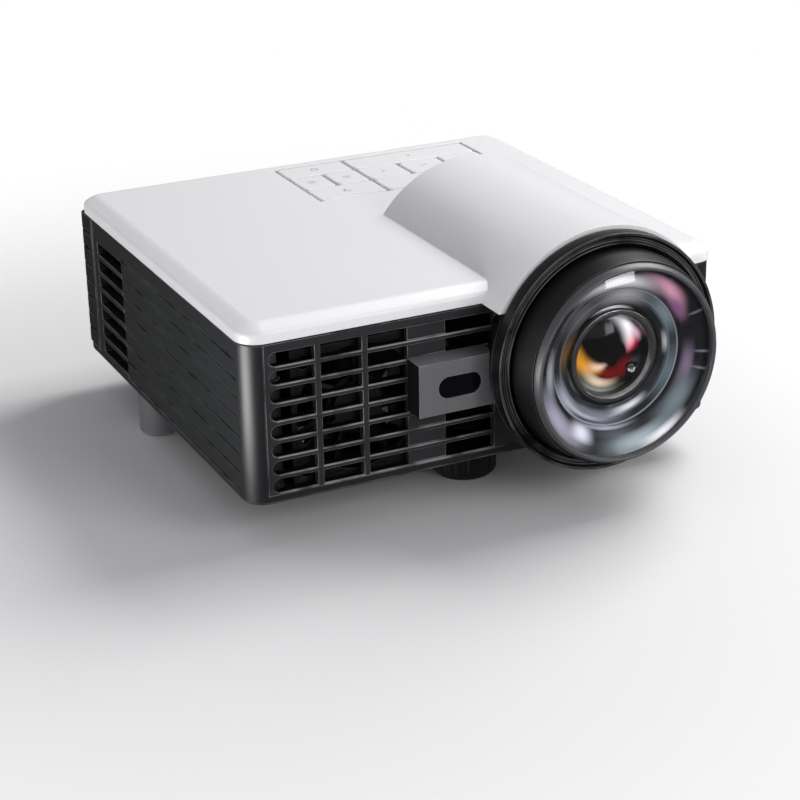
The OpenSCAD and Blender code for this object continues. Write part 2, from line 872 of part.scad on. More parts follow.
// Sensor behind the window, on its own small board
module ir_receiver() {
    plate = [8, 1, 6];
    body = [6, 5];
    front = housing_front + housing_wall + window_flange_t + seat_fit;
    plate_y = y_skin - plate.y;
    middle_x = window_x + window_w / 2;
    middle_z = housing_z + housing_h / 2;
    color("#3a2222") {
        translate([middle_x - plate.x / 2, plate_y, middle_z - plate.z / 2]) cube(plate);
        translate([middle_x - body[0] / 2, front, middle_z - body[1] / 2])
            cube([body[0], plate_y - front, body[1]]);
    }
}

// Fixed collar: cone on the front face and a spigot for the focus ring
module lens_collar() {
    back = -case_inset;
    chamfer = 0.5;
    cover_in_r = hump_r + shroud_rim - cover_wall - seat_fit;
    color("#17181a") difference() {
        lens_ring([
            [tube_r + seat_fit, back],
            [collar_foot_r, back],
            [collar_r, shroud_reach],
            [spigot_r, shroud_reach],
            [spigot_r, shroud_reach + spigot_len],
            [collar_in_r, shroud_reach + spigot_len],
            [collar_in_r, cone_back + chamfer],
            [collar_in_r - chamfer, cone_back - 2 * chamfer],
            [collar_in_r - 4 * chamfer, plate_front],
            [tube_r + seat_fit, plate_front]
        ]);
        intersection() {
            lens_ring([
                [cover_in_r, -wall],
                [hump_r + cover_wall, -wall],
                [hump_r + cover_wall, shroud_reach + eps],
                [cover_in_r, shroud_reach + eps]
            ]);
            translate([lens_x - 2 * hump_r, y_front - lens_reach, z_case + seam / 2])
                cube([4 * hump_r, 2 * lens_reach, 2 * hump_r]);
        }
    }
}

// Ring that turns on the collar's spigot, with two ridges on its front
module focus_ring() {
    bore = spigot_r + run_fit;
    lip_bore = barrel_r + move_gap;
    lip_back = ring_back + spigot_len;
    edge = 0.25;
    groove_floor = ring_front - ridge_t;
    color("#141416") lens_ring([
        [bore, ring_back],
        [ring_r - edge, ring_back],
        [ring_r, ring_back + edge],
        [ring_r, ring_front - edge],
        [ring_r - edge / 2, ring_front],
        [ring_r - 2 * edge, ring_front],
        [ridge_r + 3 * edge, groove_floor],
        [ridge_r + edge, groove_floor],
        [ridge_r, ring_front - edge],
        [ridge_r - edge / 2, ring_front],
        [ridge_r - edge, ring_front],
        [lip_bore, ring_front - 2 * edge],
        [lip_bore, lip_back],
        [bore, lip_back]
    ]);
}

// Barrel that slides when the ring is turned
module lens_barrel() {
    color("#202124") lens_ring([
        [sleeve_r - sleeve_wall, sleeve_back],
        [sleeve_r, sleeve_back],
        [sleeve_r, cone_back],
        [barrel_r, cone_back],
        [barrel_r, ring_front],
        [barrel_front_r, barrel_front],
        [barrel_r - barrel_wall, barrel_front],
        [barrel_r - barrel_wall, cone_back + flange_t],
        [sleeve_r - sleeve_wall, cone_back + flange_t]
    ]);
}

module lens_rim() {
    inner = glass_r + run_fit;
    outer = inner + rim_w;
    color("#8d9197") lens_ring([
        [inner, barrel_front],
        [outer, barrel_front],
        [outer - 0.3, rim_front - 0.5],
        [outer - 0.7, rim_front],
        [inner + 0.3, rim_front],
        [inner, rim_front - 0.4]
    ]);
}

// Domed front glass
module front_glass() {
    back_apex = glass_seat + glass_back_sphere
        - sqrt(glass_back_sphere * glass_back_sphere - step_r[0] * step_r[0]);
    color("#b8c4d0", 0.35) on_lens() difference() {
        intersection() {
            translate([0, 0, lens_reach - glass_sphere]) sphere(glass_sphere, $fn = fine);
            translate([0, 0, glass_seat]) cylinder(r = glass_r, h = lens_reach, $fn = 128);
        }
        intersection() {
            translate([0, 0, back_apex - glass_back_sphere]) sphere(glass_back_sphere, $fn = fine);
            cylinder(r = step_r[0], h = lens_reach, $fn = 128);
        }
    }
}

// Stepped baffle between the front glass and the inner glass
module lens_baffle() {
    back = cone_back + flange_t;
    bore = inner_r + run_fit;
    outer = barrel_r - barrel_wall - seat_fit;
    land = 0.25;
    last_step = 1.4;
    color("#1a1b1e") lens_ring(concat(
        [[bore, back], [outer, back], [outer, glass_seat]],
        [for (i = [0:3]) each [
            [step_r[i], glass_seat - step_in[i]],
            [step_r[i] - land, glass_seat - step_in[min(i + 1, 3)] - (i == 3 ? last_step : 0)]
        ]],
        [[bore + 1.8, inner_seat], [bore, inner_seat]]
    ));
}

// Coated glass in the middle of the baffle
module inner_glass() {
    back = inner_edge - 2.4;
    apex = inner_edge + inner_sphere - sqrt(inner_sphere * inner_sphere - inner_r * inner_r);
    color("#a05020", 0.5) on_lens() intersection() {
        translate([0, 0, apex - inner_sphere]) sphere(inner_sphere, $fn = fine);
        translate([0, 0, back]) cylinder(r = inner_r, h = apex, $fn = 128);
    }
}

// Bright ring that holds the inner glass
module lens_retainer() {
    reach = 0.6;
    lip = 0.3;
    out = 1.5;
    color("#9a9ea4") lens_ring([
        [inner_r - 0.5, inner_edge + reach],
        [inner_r, inner_edge + 0.2],
        [inner_r, inner_seat],
        [inner_r + out, inner_seat],
        [inner_r + out - lip, inner_seat + reach],
        [inner_r + lip, inner_seat + reach],
        [inner_r - lip, inner_seat]
    ]);
}

// Fixed tube on the light engine, in which the barrel's sleeve slides
module lens_tube() {
    bore = sleeve_r + run_fit;
    color("#3b3d40") lens_ring([
        [tube_end_r, tube_back],
        [tube_flange_r, tube_back],
        [tube_flange_r, tube_back + 2],
        [tube_r, tube_back + 2],
        [tube_r, plate_front],
        [bore, plate_front],
        [bore, tube_stop],
        [tube_end_r, tube_stop]
    ]);
}

module rear_glass() {
    r = sleeve_r - sleeve_wall - run_fit;
    bulge = 40;
    sag = bulge - sqrt(bulge * bulge - r * r);
    front = -2;
    color("#b8c4d0", 0.35) on_lens() intersection() {
        translate([0, 0, front - bulge]) sphere(bulge, $fn = fine);
        translate([0, 0, front - sag - 3]) cylinder(r = r, h = sag + 4, $fn = 128);
    }
}

// Open box of the light engine
module light_engine_housing() {
    inner_d = engine_d - 2 * engine_wall;
    color("#6a6e73") difference() {
        union() {
            difference() {
                translate([engine_x0, engine_y0, z_floor])
                    cube([engine_x1 - engine_x0, engine_d, engine_h]);
                translate([engine_x0 + engine_wall, engine_y0 + engine_wall, z_floor + engine_wall])
                    cube([engine_x1 - engine_x0 - 2 * engine_wall, inner_d, engine_h]);
            }
            lens_rod(tube_flange_r, -engine_in - engine_wall, -engine_in);
            translate([lens_x - prism_w / 2, prism_y0, z_floor])
                cube([prism_w, prism_w, lens_z - prism_w / 2 - z_floor]);
            translate([engine_x0, red_y - holder_w / 2, z_floor])
                cube([engine_wall + holder_t, green_y - red_y + holder_w, holder_h]);
            translate([blue_x - holder_w / 2, engine_y1 - engine_wall - holder_t, z_floor])
                cube([holder_w, holder_t + engine_wall / 2, holder_h]);
        }
        lens_rod(tube_end_r - 0.5, -engine_in - engine_wall - eps, -engine_in + eps);
        for (y = [red_y, green_y]) {
            translate([engine_x0 - eps, y, led_z])
                rotate([0, 90, 0])
                cylinder(r = beam_r, h = engine_wall + holder_t + 2 * eps);
            translate([engine_x0 + engine_wall, y, led_z])
                rotate([0, 90, 0])
                cylinder(r = lens_cell_r + run_fit, h = holder_t + eps);
        }
        translate([blue_x, engine_y1 + eps, led_z])
            rotate([90, 0, 0])
            cylinder(r = beam_r, h = engine_wall + holder_t + 2 * eps);
        translate([blue_x, engine_y1 - engine_wall, led_z])
            rotate([90, 0, 0])
            cylinder(r = lens_cell_r + run_fit, h = holder_t + eps);
    }
}

module light_engine_lid() {
    color("#7b7f84") translate([engine_x0, engine_y0 + engine_wall + seat_fit, engine_z1])
        cube([engine_x1 - engine_x0, engine_d - engine_wall - seat_fit, lid_t]);
}

module prism() {
    color("#c8d8e0", 0.4)
        translate([lens_x - prism_w / 2, prism_y0, lens_z - prism_w / 2])
        cube(prism_w);
}

// Two mirrors that join the three colours
module dichroic_mirrors() {
    size = [0.9 * lamp_pitch, 0.7, holder_h];
    for (y = [red_y, green_y]) {
        color("#90a8d0", 0.6)
            translate([blue_x, y, z_floor + engine_wall + size[2] / 2])
            rotate(45)
            cube(size, center = true);
    }
}

// One lens in front of each lamp
module collimator_lenses() {
    color("#c8d8e0", 0.4) {
        for (y = [red_y, green_y]) {
            translate([engine_x0 + engine_wall, y, led_z]) rotate([0, 90, 0]) small_lens();
        }
        translate([blue_x, engine_y1 - engine_wall, led_z]) rotate([90, 0, 0]) small_lens();
    }
}

// Flat-backed lens of a lamp, on z = 0
module small_lens() {
    bulge = 1.55 * lens_cell_r;
    lens_t = 0.9 * lens_cell_r;
    intersection() {
        cylinder(r = lens_cell_r, h = holder_t);
        translate([0, 0, lens_t - bulge]) sphere(bulge, $fn = 128);
    }
}

// Lamp board on the engine's left side
module side_led_board(y) {
    translate([sink_x1, y - led_board[0] / 2, led_z - led_board[1] / 2])
        cube([board_t, led_board[0], led_board[1]]);
    translate([engine_x0, y, led_z]) rotate([0, 90, 0]) cylinder(r = beam_r - seat_fit, h = 1);
}

module red_led_board() {
    color("#b03030") side_led_board(red_y);
}

module green_led_board() {
    color("#2f8f4f") side_led_board(green_y);
}

module blue_led_board() {
    color("#3050b0") {
        translate([blue_x - led_board[0] / 2, engine_y1, led_z - led_board[1] / 2])
            cube([led_board[0], board_t, led_board[1]]);
        translate([blue_x, engine_y1, led_z])
            rotate([90, 0, 0])
            cylinder(r = beam_r - seat_fit, h = 1);
    }
}

// Finned sink of the lamps on the left
module led_heat_sink() {
    y0 = green_y + led_board[0] / 2 - sink_d + 2;
    pitch = (sink_h - fin_t) / (fin_count - 1);
    base_x = sink_x1 - sink_base_t;
    color("#a8abb0") difference() {
        union() {
            translate([base_x, y0, z_floor]) cube([sink_base_t, sink_d, sink_h]);
            for (i = [0:fin_count - 1]) {
                translate([sink_x0, y0, z_floor + i * pitch])
                    cube([base_x - sink_x0 + eps, sink_d, fin_t]);
            }
        }
        translate([pipe_x, pipe_y - pipe_bend + eps, led_z])
            rotate([90, 0, 0])
            cylinder(r = pipe_r + seat_fit, h = 14);
    }
}

// Pipe that carries the third lamp's heat into the fins
module heat_pipe() {
    bend_x = pipe_x + pipe_bend;
    bend_y = pipe_y - pipe_bend;
    pad_size = [10, 16];
    solder = [10, 1, 1.2];
    pad_y = engine_y1 + board_t;
    color("#b06a3c") {
        translate([bend_x, pipe_y, led_z])
            rotate([0, 90, 0])
            cylinder(r = pipe_r, h = blue_x + 4 - bend_x);
        translate([bend_x, bend_y, led_z])
            rotate([0, 0, 90])
            rotate_extrude(angle = 90)
            translate([pipe_bend, 0])
            circle(pipe_r);
        translate([pipe_x, bend_y, led_z]) rotate([90, 0, 0]) cylinder(r = pipe_r, h = 12);
        translate([blue_x - pad_size[0] / 2, pad_y, led_z - pad_size[1] / 2])
            cube([pad_size[0], pipe_pad_t, pad_size[1]]);
        translate([blue_x - solder.x / 2, pad_y + pipe_pad_t - 0.1, led_z - solder.z / 2])
            cube(solder);
    }
}

// Board of the imaging chip, on the engine's back
module imaging_board() {
    left = 8;
    color("#1f6a45") translate([lens_x - left, engine_y1, z_floor + 4])
        cube([engine_right - 2 + left, board_t, 26]);
}

// Finned sink on the imaging board
module imaging_heat_sink() {
    base_t = 1.6;
    height = 20;
    fins = 6;
    pitch = (chip_sink_w - fin_t) / (fins - 1);
    color("#a8abb0") translate([lens_x - 5, engine_y1 + board_t, z_floor + 7]) {
        cube([chip_sink_w, base_t, height]);
        for (i = [0:fins - 1]) {
            translate([i * pitch, 0, 0]) cube([fin_t, chip_sink_d, height]);
        }
    }
}

// Main board with its larger chips
module main_board() {
    board_w = board_right - board_left;
    // Share of the board's width and depth, then the chip's width, depth and height
    chips = [
        [0.2, 0.36, 12, 12, 1.6],
        [0.47, 0.3, 14, 14, 1.8],
        [0.06, 0.42, 5, 7, 6],
        [0.74, 0.21, 8, 8, 4]
    ];
    color("#1f6a45") difference() {
        union() {
            translate([board_left, board_y0, board_z]) cube([board_w, board_d, board_t]);
            for (c = chips) {
                translate([board_left + c[0] * board_w, board_y0 + c[1] * board_d, board_top])
                    translate([-c[2] / 2, -c[3] / 2, -0.1])
                    cube([c[2], c[3], c[4] + 0.1]);
            }
        }
        for (p = board_holes) {
            translate([p.x, p.y, board_z - eps]) cylinder(r = small_r + seat_fit, h = board_t + 2 * eps);
        }
    }
}

function key_middle(x0, x1) = (x0 + x1) / 2;

// Board under the keys, one switch for each
module keypad_board() {
    x0 = key_left - keyboard_side;
    y0 = key_y0 - keyboard_front;
    w = key_x4 - key_left + 2 * keyboard_side;
    d = key_y3 - key_y0 + keyboard_front + keyboard_rear;
    color("#1f6a45") difference() {
        union() {
            translate([x0, y0, key_board_z]) cube([w, d, board_t]);
            for (k = key_centres()) {
                translate([k[0] - switch_w / 2, k[1] - switch_w / 2, key_board_z + board_t - 0.1])
                    cube([switch_w, switch_w, switch_h + 0.1]);
            }
        }
        for (p = keyboard_holes) {
            translate([p.x, p.y, key_board_z - eps])
                cylinder(r = small_r + seat_fit, h = board_t + 2 * eps);
        }
    }
}

// Middle of each key: power, source, menu, back, up, left, enter, right, down
function key_centres() = [
    [key_middle(key_left, key_x1), key_middle(key_y2, key_y3)],
    [key_left + key_col_w / 4, key_middle(key_y1, key_y2)],
    [key_left + key_col_w * 3 / 4, key_middle(key_y1, key_y2)],
    [key_middle(key_left, key_x1), key_middle(key_y0, key_y1)],
    [key_middle(key_x1, key_x4), key_middle(key_y2, key_y3)],
    [key_middle(key_x1, key_x2), key_middle(key_y1, key_y2)],
    [key_middle(key_x2, key_x3), key_middle(key_y1, key_y2)],
    [key_middle(key_x3, key_x4), key_middle(key_y1, key_y2)],
    [key_middle(key_x1, key_x4), key_middle(key_y0, key_y1)]
];

// Flat cable between the two boards
module keypad_ribbon() {
    tape = [10, 0.4, key_board_z - board_top];
    block = [12, 3, 2.5];
    color("#d8d8d0") translate([key_x2, key_y1 + 2, board_top]) {
        cube(tape);
        for (z = [0, tape.z - block.z]) {
            translate([(tape.x - block.x) / 2, (tape.y - block.y) / 2, z]) cube(block);
        }
    }
}

// Key cap that fills the cell between two corners, with a post over its switch
module key_cap(x0, y0, x1, y1) {
    w = x1 - x0 - key_gap;
    d = y1 - y0 - key_gap;
    post_z = key_board_z + board_t + switch_h + key_travel + seat_fit;
    color("#ececee") translate([(x0 + x1) / 2, (y0 + y1) / 2, 0]) {
        translate([0, 0, z_top - key_t])
            linear_extrude(key_t - key_edge)
            rounded_rect(w, d, key_corner);
        translate([0, 0, z_top - key_t])
            linear_extrude(key_t)
            rounded_rect(w - 2 * key_edge, d - 2 * key_edge, key_corner - key_edge);
        translate([0, 0, post_z]) cylinder(r = key_post_r, h = z_top - key_t - post_z + 0.2);
    }
}

module power_key() {
    key_cap(key_left, key_y2, key_x1, key_y3);
}

module source_key() {
    key_cap(key_left, key_y1, key_left + key_col_w / 2, key_y2);
}

module menu_key() {
    key_cap(key_left + key_col_w / 2, key_y1, key_x1, key_y2);
}

module back_key() {
    key_cap(key_left, key_y0, key_x1, key_y1);
}

module up_key() {
    key_cap(key_x1, key_y2, key_x4, key_y3);
}

module left_key() {
    key_cap(key_x1, key_y1, key_x2, key_y2);
}

module enter_key() {
    key_cap(key_x2, key_y1, key_x3, key_y2);
}

module right_key() {
    key_cap(key_x3, key_y1, key_x4, key_y2);
}

module down_key() {
    key_cap(key_x1, key_y0, key_x4, key_y1);
}

// Fan frame from z = 0, with the pin on which the rotor turns
module fan_frame() {
    spoke_t = 1.2;
    corner_in = 3;
    corner_hole_r = 1.4;
    difference() {
        translate([-fan_w / 2, -fan_w / 2, 0]) cube([fan_w, fan_w, fan_t]);
        translate([0, 0, -eps]) cylinder(r = fan_bore, h = fan_t + 2 * eps);
        for (x = [-1, 1], y = [-1, 1]) {
            translate([x * (fan_w / 2 - corner_in), y * (fan_w / 2 - corner_in), -eps])
                cylinder(r = corner_hole_r, h = fan_t + 2 * eps);
        }
    }
    cylinder(r = fan_hub_r - 1, h = spoke_t);
    for (i = [0:2]) {
        rotate(i * 120 + 30) translate([0, -0.9, 0]) cube([fan_bore + 0.3, 1.8, spoke_t]);
    }
    cylinder(r = fan_pin_r, h = fan_t - 1.6);
}

// Fan rotor with a bore for the pin
module fan_rotor() {
    low = 1.2 + move_gap;
    hub_h = fan_t - low - 0.5;
    difference() {
        union() {
            translate([0, 0, low]) cylinder(r = fan_hub_r, h = hub_h);
            intersection() {
                fan_blades(low, hub_h);
                translate([0, 0, low]) cylinder(r = fan_bore - move_gap - 0.1, h = hub_h);
            }
        }
        translate([0, 0, low - eps]) cylinder(r = fan_pin_r + run_fit, h = hub_h - 0.8 + eps);
    }
}

module fan_blades(low, hub_h) {
    for (i = [0:blade_count - 1]) {
        rotate(i * 360 / blade_count)
            translate([fan_bore / 2, 0, low + hub_h / 2])
            rotate([35, 0, 0])
            cube([fan_bore, 0.9, hub_h * 1.1], center = true);
    }
}

// Places a fan behind the front slots, its flow along +Y
module at_intake() {
    translate([intake_x, y_panel + move_gap, z_floor + fan_w / 2]) rotate([-90, 0, 0]) children();
}

// Places a fan behind the left vents, its flow along -X
module at_exhaust() {
    translate([-x_inner + move_gap, side_vent_y, z_floor + fan_w / 2]) rotate([0, 90, 0]) children();
}

module intake_fan_frame() {
    color("#222426") at_intake() fan_frame();
}

module intake_fan_rotor() {
    color("#34373a") at_intake() fan_rotor();
}

module exhaust_fan_frame() {
    color("#222426") at_exhaust() fan_frame();
}

module exhaust_fan_rotor() {
    color("#34373a") at_exhaust() fan_rotor();
}

// Small loudspeaker behind the right vents
module speaker() {
    rim_t = 1.4;
    cone_out = 9;
    color("#2c2e31") translate([x_inner - seat_fit, side_vent_y, z_floor + speaker_w / 2])
        rotate([0, 90, 0]) {
            difference() {
                translate([-speaker_w / 2, -speaker_w / 2, -rim_t])
                    cube([speaker_w, speaker_w, rim_t]);
                translate([0, 0, -rim_t - eps]) cylinder(r = cone_out, h = rim_t + 2 * eps);
            }
            rotate_extrude()
                polygon([
                    [0, -5.4], [7, -5.4], [7, -3.4], [cone_out + 0.4, -rim_t],
                    [cone_out + 0.4, -0.4], [cone_out - 0.4, -0.4], [3, -2.9], [0, -2.5]
                ]);
        }
}

// Jack on the board: a block with a round bore that opens to the back
module jack(x, size, bore_r) {
    z = board_top + size[1] / 2;
    difference() {
        translate([x - size[0] / 2, socket_y - socket_d, board_top])
            cube([size[0], socket_d, size[1]]);
        translate([x, socket_y + eps, z])
            rotate([90, 0, 0])
            cylinder(r = bore_r, h = socket_d - jack_back_t + eps);
    }
}

module power_jack() {
    color("#191a1c") jack(power_jack_x, power_jack_size, power_bore_r);
}

module sound_jack() {
    color("#191a1c") jack(sound_jack_x, sound_jack_size, sound_bore_r);
}

// Sheet-metal socket shell that opens to the back
module socket_shell(x, clear, z) {
    size = shell_size(clear);
    difference() {
        translate([x - size[0] / 2, socket_y - socket_d, z]) cube([size[0], socket_d, size[1]]);
        translate([x - clear[0] / 2, socket_y - socket_d + socket_back_t, z + socket_wall])
            cube([clear[0], socket_d, clear[1]]);
    }
}

module video_socket() {
    color("silver") socket_shell(video_x, video_clear, board_top);
}

module data_socket() {
    color("silver") socket_shell(data_x, data_clear, board_top);
}

module wide_socket() {
    color("silver") socket_shell(wide_x, wide_clear, board_top);
}

module card_slot() {
    color("silver") socket_shell(card_x, card_clear, board_z - shell_size(card_clear)[1]);
}

// Screw of the adjustable front foot
module front_foot_screw() {
    color("#8a8d92") translate([front_foot_x, front_foot_y, foot_floor])
        cylinder(r = stud_r, h = stud_len);
}

// Grooved wheel that turns with the screw
module front_foot_wheel() {
    grooves = 16;
    color("#1b1c1e") translate([front_foot_x, front_foot_y, 0]) difference() {
        rotate_extrude() polygon([
            [0, 0], [foot_wheel_r - 1, 0], [foot_wheel_r, 1], [foot_wheel_r, foot_wheel_h - 0.6],
            [foot_wheel_r - 0.6, foot_wheel_h], [0, foot_wheel_h]
        ]);
        translate([0, 0, foot_floor]) cylinder(r = stud_r + run_fit, h = foot_wheel_h);
        for (i = [0:grooves - 1]) {
            rotate(i * 360 / grooves)
                translate([foot_wheel_r + 0.2, 0, 1.5])
                cylinder(r = 0.6, h = foot_wheel_h, $fn = 16);
        }
    }
}

module foot_insert() {
    color("#b5953f") translate([front_foot_x, front_foot_y, z_under]) difference() {
        cylinder(r = insert_r, h = insert_len);
        translate([0, 0, -eps]) cylinder(r = stud_r + run_fit, h = insert_len + 2 * eps);
    }
}

// Fixed feet under the rear half
module rear_feet() {
    color("#3a3c3f") for (side = [-1, 1]) {
        translate([side * (x_side - rear_foot_in), rear_foot_y, 0])
            rotate_extrude()
            polygon([
                [0, 0], [rear_foot_r - 0.6, 0], [rear_foot_r, 0.6], [rear_foot_r, z_under - under_bevel],
                [rear_foot_r - 1, z_under], [0, z_under]
            ]);
    }
}

module tripod_insert() {
    color("#b5953f") translate([tripod_x, tripod_y, z_under]) difference() {
        cylinder(r = tripod_r + 1, h = tripod_len);
        translate([0, 0, -eps]) cylinder(r = tripod_r, h = tripod_len + 2 * eps);
    }
}

// Screws from the underside into the cover
module case_screws() {
    z = post_top - post_web;
    color("#9a9da2") for (p = post_places) {
        translate([p.x, p.y, z - screw_head_h]) difference() {
            cylinder(r = screw_head_r, h = screw_head_h);
            translate([0, 0, -eps]) cylinder(r = 1.2, h = eps + 0.9, $fn = 6);
        }
        translate([p.x, p.y, z - 0.2]) cylinder(r = screw_r, h = screw_len + 0.2);
    }
}

// Screws of the main board, from above, and of the keypad board, from below
module inner_screws() {
    color("#9a9da2") {
        for (p = board_holes) {
            translate([p.x, p.y, board_top]) cylinder(r = small_head_r, h = small_head_h);
            translate([p.x, p.y, board_top - small_len + 0.1]) cylinder(r = small_r, h = small_len);
        }
        for (p = keyboard_holes) {
            translate([p.x, p.y, key_board_z - small_head_h])
                cylinder(r = small_head_r, h = small_head_h);
            translate([p.x, p.y, key_board_z - 0.1]) cylinder(r = small_r, h = small_len);
        }
    }
}

lower_case();
top_cover();
front_grille();
rear_panel();
sensor_housing();
ir_window();
ir_receiver();
lens_collar();
focus_ring();
lens_barrel();
lens_rim();
front_glass();
lens_baffle();
inner_glass();
lens_retainer();
lens_tube();
rear_glass();
light_engine_housing();
light_engine_lid();
prism();
dichroic_mirrors();
collimator_lenses();
imaging_board();
imaging_heat_sink();
red_led_board();
green_led_board();
blue_led_board();
led_heat_sink();
heat_pipe();
main_board();
keypad_board();
keypad_ribbon();
power_key();
source_key();
menu_key();
back_key();
up_key();
left_key();
enter_key();
right_key();
down_key();
intake_fan_frame();
intake_fan_rotor();
exhaust_fan_frame();
exhaust_fan_rotor();
speaker();
power_jack();
sound_jack();
video_socket();
data_socket();
wide_socket();
card_slot();
front_foot_screw();
front_foot_wheel();
foot_insert();
rear_feet();
tripod_insert();
case_screws();
inner_screws();
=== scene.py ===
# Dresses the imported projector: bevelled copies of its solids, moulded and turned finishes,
# the coated lens with painted reflections and highlights, painted shade in slots and on shaded
# faces, key marks and socket contacts. Metres, in the CAD's own frame.
import json
import math

import bmesh
import bpy
from mathutils import Matrix, Vector


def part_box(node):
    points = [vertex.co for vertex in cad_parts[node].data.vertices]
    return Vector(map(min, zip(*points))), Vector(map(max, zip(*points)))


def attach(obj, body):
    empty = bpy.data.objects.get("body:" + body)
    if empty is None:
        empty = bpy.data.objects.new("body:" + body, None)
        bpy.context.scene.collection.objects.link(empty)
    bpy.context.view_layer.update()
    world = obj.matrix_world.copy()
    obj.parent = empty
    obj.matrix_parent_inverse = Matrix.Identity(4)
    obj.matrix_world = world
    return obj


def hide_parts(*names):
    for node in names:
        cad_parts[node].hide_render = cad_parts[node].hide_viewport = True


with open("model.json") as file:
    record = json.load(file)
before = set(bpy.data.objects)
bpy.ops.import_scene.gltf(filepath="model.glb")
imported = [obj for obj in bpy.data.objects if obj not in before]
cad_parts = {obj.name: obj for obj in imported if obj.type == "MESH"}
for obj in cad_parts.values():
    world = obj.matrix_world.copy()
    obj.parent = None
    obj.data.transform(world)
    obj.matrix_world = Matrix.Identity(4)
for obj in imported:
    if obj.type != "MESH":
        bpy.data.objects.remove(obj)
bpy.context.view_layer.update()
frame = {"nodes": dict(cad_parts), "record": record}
scene = bpy.context.scene
mm = 0.001

print("stage: camera")
view = {
    "place": (-194.3, -402.4, 196.6),
    "azimuth": -25.6,
    "elevation": 22.91,
    "roll": -1.03,
    "focal": 94.05,
}


def makeCamera():
    az, el = math.radians(view["azimuth"]), math.radians(view["elevation"])
    roll = math.radians(view["roll"])
    back = Vector((math.sin(az) * math.cos(el), -math.cos(az) * math.cos(el), math.sin(el)))
    right = Vector((math.cos(az), math.sin(az), 0))
    up = back.cross(right)
    turnedRight = right * math.cos(roll) + up * math.sin(roll)
    turnedUp = up * math.cos(roll) - right * math.sin(roll)
    lens = bpy.data.cameras.new("photoCamera")
    lens.lens = view["focal"]
    lens.sensor_width = 36
    lens.clip_start = 0.01
    lens.clip_end = 20
    holder = bpy.data.objects.new("photoCamera", lens)
    scene.collection.objects.link(holder)
    turn = Matrix((turnedRight, turnedUp, back)).transposed().to_4x4()
    holder.matrix_world = Matrix.Translation(Vector(view["place"]) * mm) @ turn
    scene.camera = holder


makeCamera()

print("stage: studio")
studio = {
    "worldLight": 0.36,  # what the object sees
    "worldTint": (0.97, 0.98, 1.0),
    "worldMirror": 0.20,  # what polished faces show
    "floorHalf": 3,
    "floorColour": (0.83, 0.83, 0.84),
    "floorRoughness": 0.85,
    "floorMirror": 0.10,  # how bright the floor is in polished faces
    "cardPlace": (-0.150, -0.052, 0),  # a bright card on the floor that only polished faces show
    "cardReach": 0.060,
    "cardCore": 0.35,  # the share of its reach that is fully bright
    "cardLight": 24.0,
    "floorFade": (0.09, 0.25),  # where the floor turns into the white backdrop
    "lamps": [
        # name, place, aimed at, size, watts, colour
        ("keyBox", (0.40, 0.10, 0.47), (0.0, 0.0, 0.04),
         (0.36, 0.36), 3.25, (1.0, 0.995, 0.985)),
        ("frontBox", (0.20, -0.50, 0.30), (0.0, 0.0, 0.03),
         (0.30, 0.22), 0.92, (1.0, 1.0, 1.0)),
        ("sideBox", (-0.31, -0.04, 0.012), (-0.056, -0.01, 0.045),
         (0.28, 0.02), 0.32, (1.0, 1.0, 1.0)),
        ("lensBoxLow", (0.52, -0.46, 0.05), (0.022, -0.05, 0.034),
         (0.14, 0.10), 0.30, (1.0, 0.96, 0.97)),
        ("lensBoxHigh", (0.30, -0.60, 0.10), (0.022, -0.05, 0.034),
         (0.10, 0.12), 0.42, (1.0, 0.99, 1.0)),
    ],
}


def feed(tree, value, socket):
    # a socket is linked, a plain value is set
    if isinstance(value, bpy.types.NodeSocket):
        tree.links.new(value, socket)
    else:
        socket.default_value = value


def newNode(tree, kind, operation=None):
    node = tree.nodes.new("ShaderNode" + kind)
    if operation:
        node.operation = operation
    return node


def mathNode(tree, operation, *values, clamp=False):
    node = newNode(tree, "Math", operation)
    node.use_clamp = clamp
    for socket, value in zip(node.inputs, values):
        feed(tree, value, socket)
    return node.outputs[0]


def plus(tree, *values, clamp=False):
    return mathNode(tree, "ADD", *values, clamp=clamp)


def minus(tree, *values):
    return mathNode(tree, "SUBTRACT", *values)


def times(tree, *values, clamp=False):
    return mathNode(tree, "MULTIPLY", *values, clamp=clamp)


def mixColour(tree, fac, low, high, blend="MIX"):
    node = newNode(tree, "Mix")
    node.data_type = "RGBA"
    node.blend_type = blend
    for socket, value in ((0, fac), (6, low), (7, high)):
        feed(tree, value, node.inputs[socket])
    return node.outputs[2]


def mixShaders(tree, fac, first, second):
    node = newNode(tree, "MixShader")
    for socket, value in ((0, fac), (1, first), (2, second)):
        feed(tree, value, node.inputs[socket])
    return node.outputs[0]


def ranged(tree, value, low, high, toLow=0.0, toHigh=1.0, smooth=True):
    node = newNode(tree, "MapRange")
    node.interpolation_type = "SMOOTHSTEP" if smooth else "LINEAR"
    for label, number in (
        ("Value", value),
        ("From Min", low), ("From Max", high),
        ("To Min", toLow), ("To Max", toHigh),
    ):
        feed(tree, number, node.inputs[label])
    return node.outputs["Result"]


def noiseNode(tree, place, scale, detail=3.0, rough=0.55):
    node = newNode(tree, "TexNoise")
    given = (("Vector", place), ("Scale", scale), ("Detail", detail), ("Roughness", rough))
    for label, value in given:
        feed(tree, value, node.inputs[label])
    return node.outputs["Fac"]


def objectPlace(tree):
    return newNode(tree, "TexCoord").outputs["Object"]


def greyOf(tree, level):
    grey = newNode(tree, "CombineColor")
    for socket in grey.inputs[:3]:
        feed(tree, level, socket)
    return grey.outputs[0]


def newMaterial(name, **constants):
    made = bpy.data.materials.new(name)
    made.use_nodes = True
    tree = made.node_tree
    tree.nodes.clear()
    out = newNode(tree, "OutputMaterial")
    shader = newNode(tree, "BsdfPrincipled")
    for label, value in constants.items():
        shader.inputs[label.replace("_", " ")].default_value = value
    feed(tree, shader.outputs[0], out.inputs["Surface"])
    return made, tree, shader, out


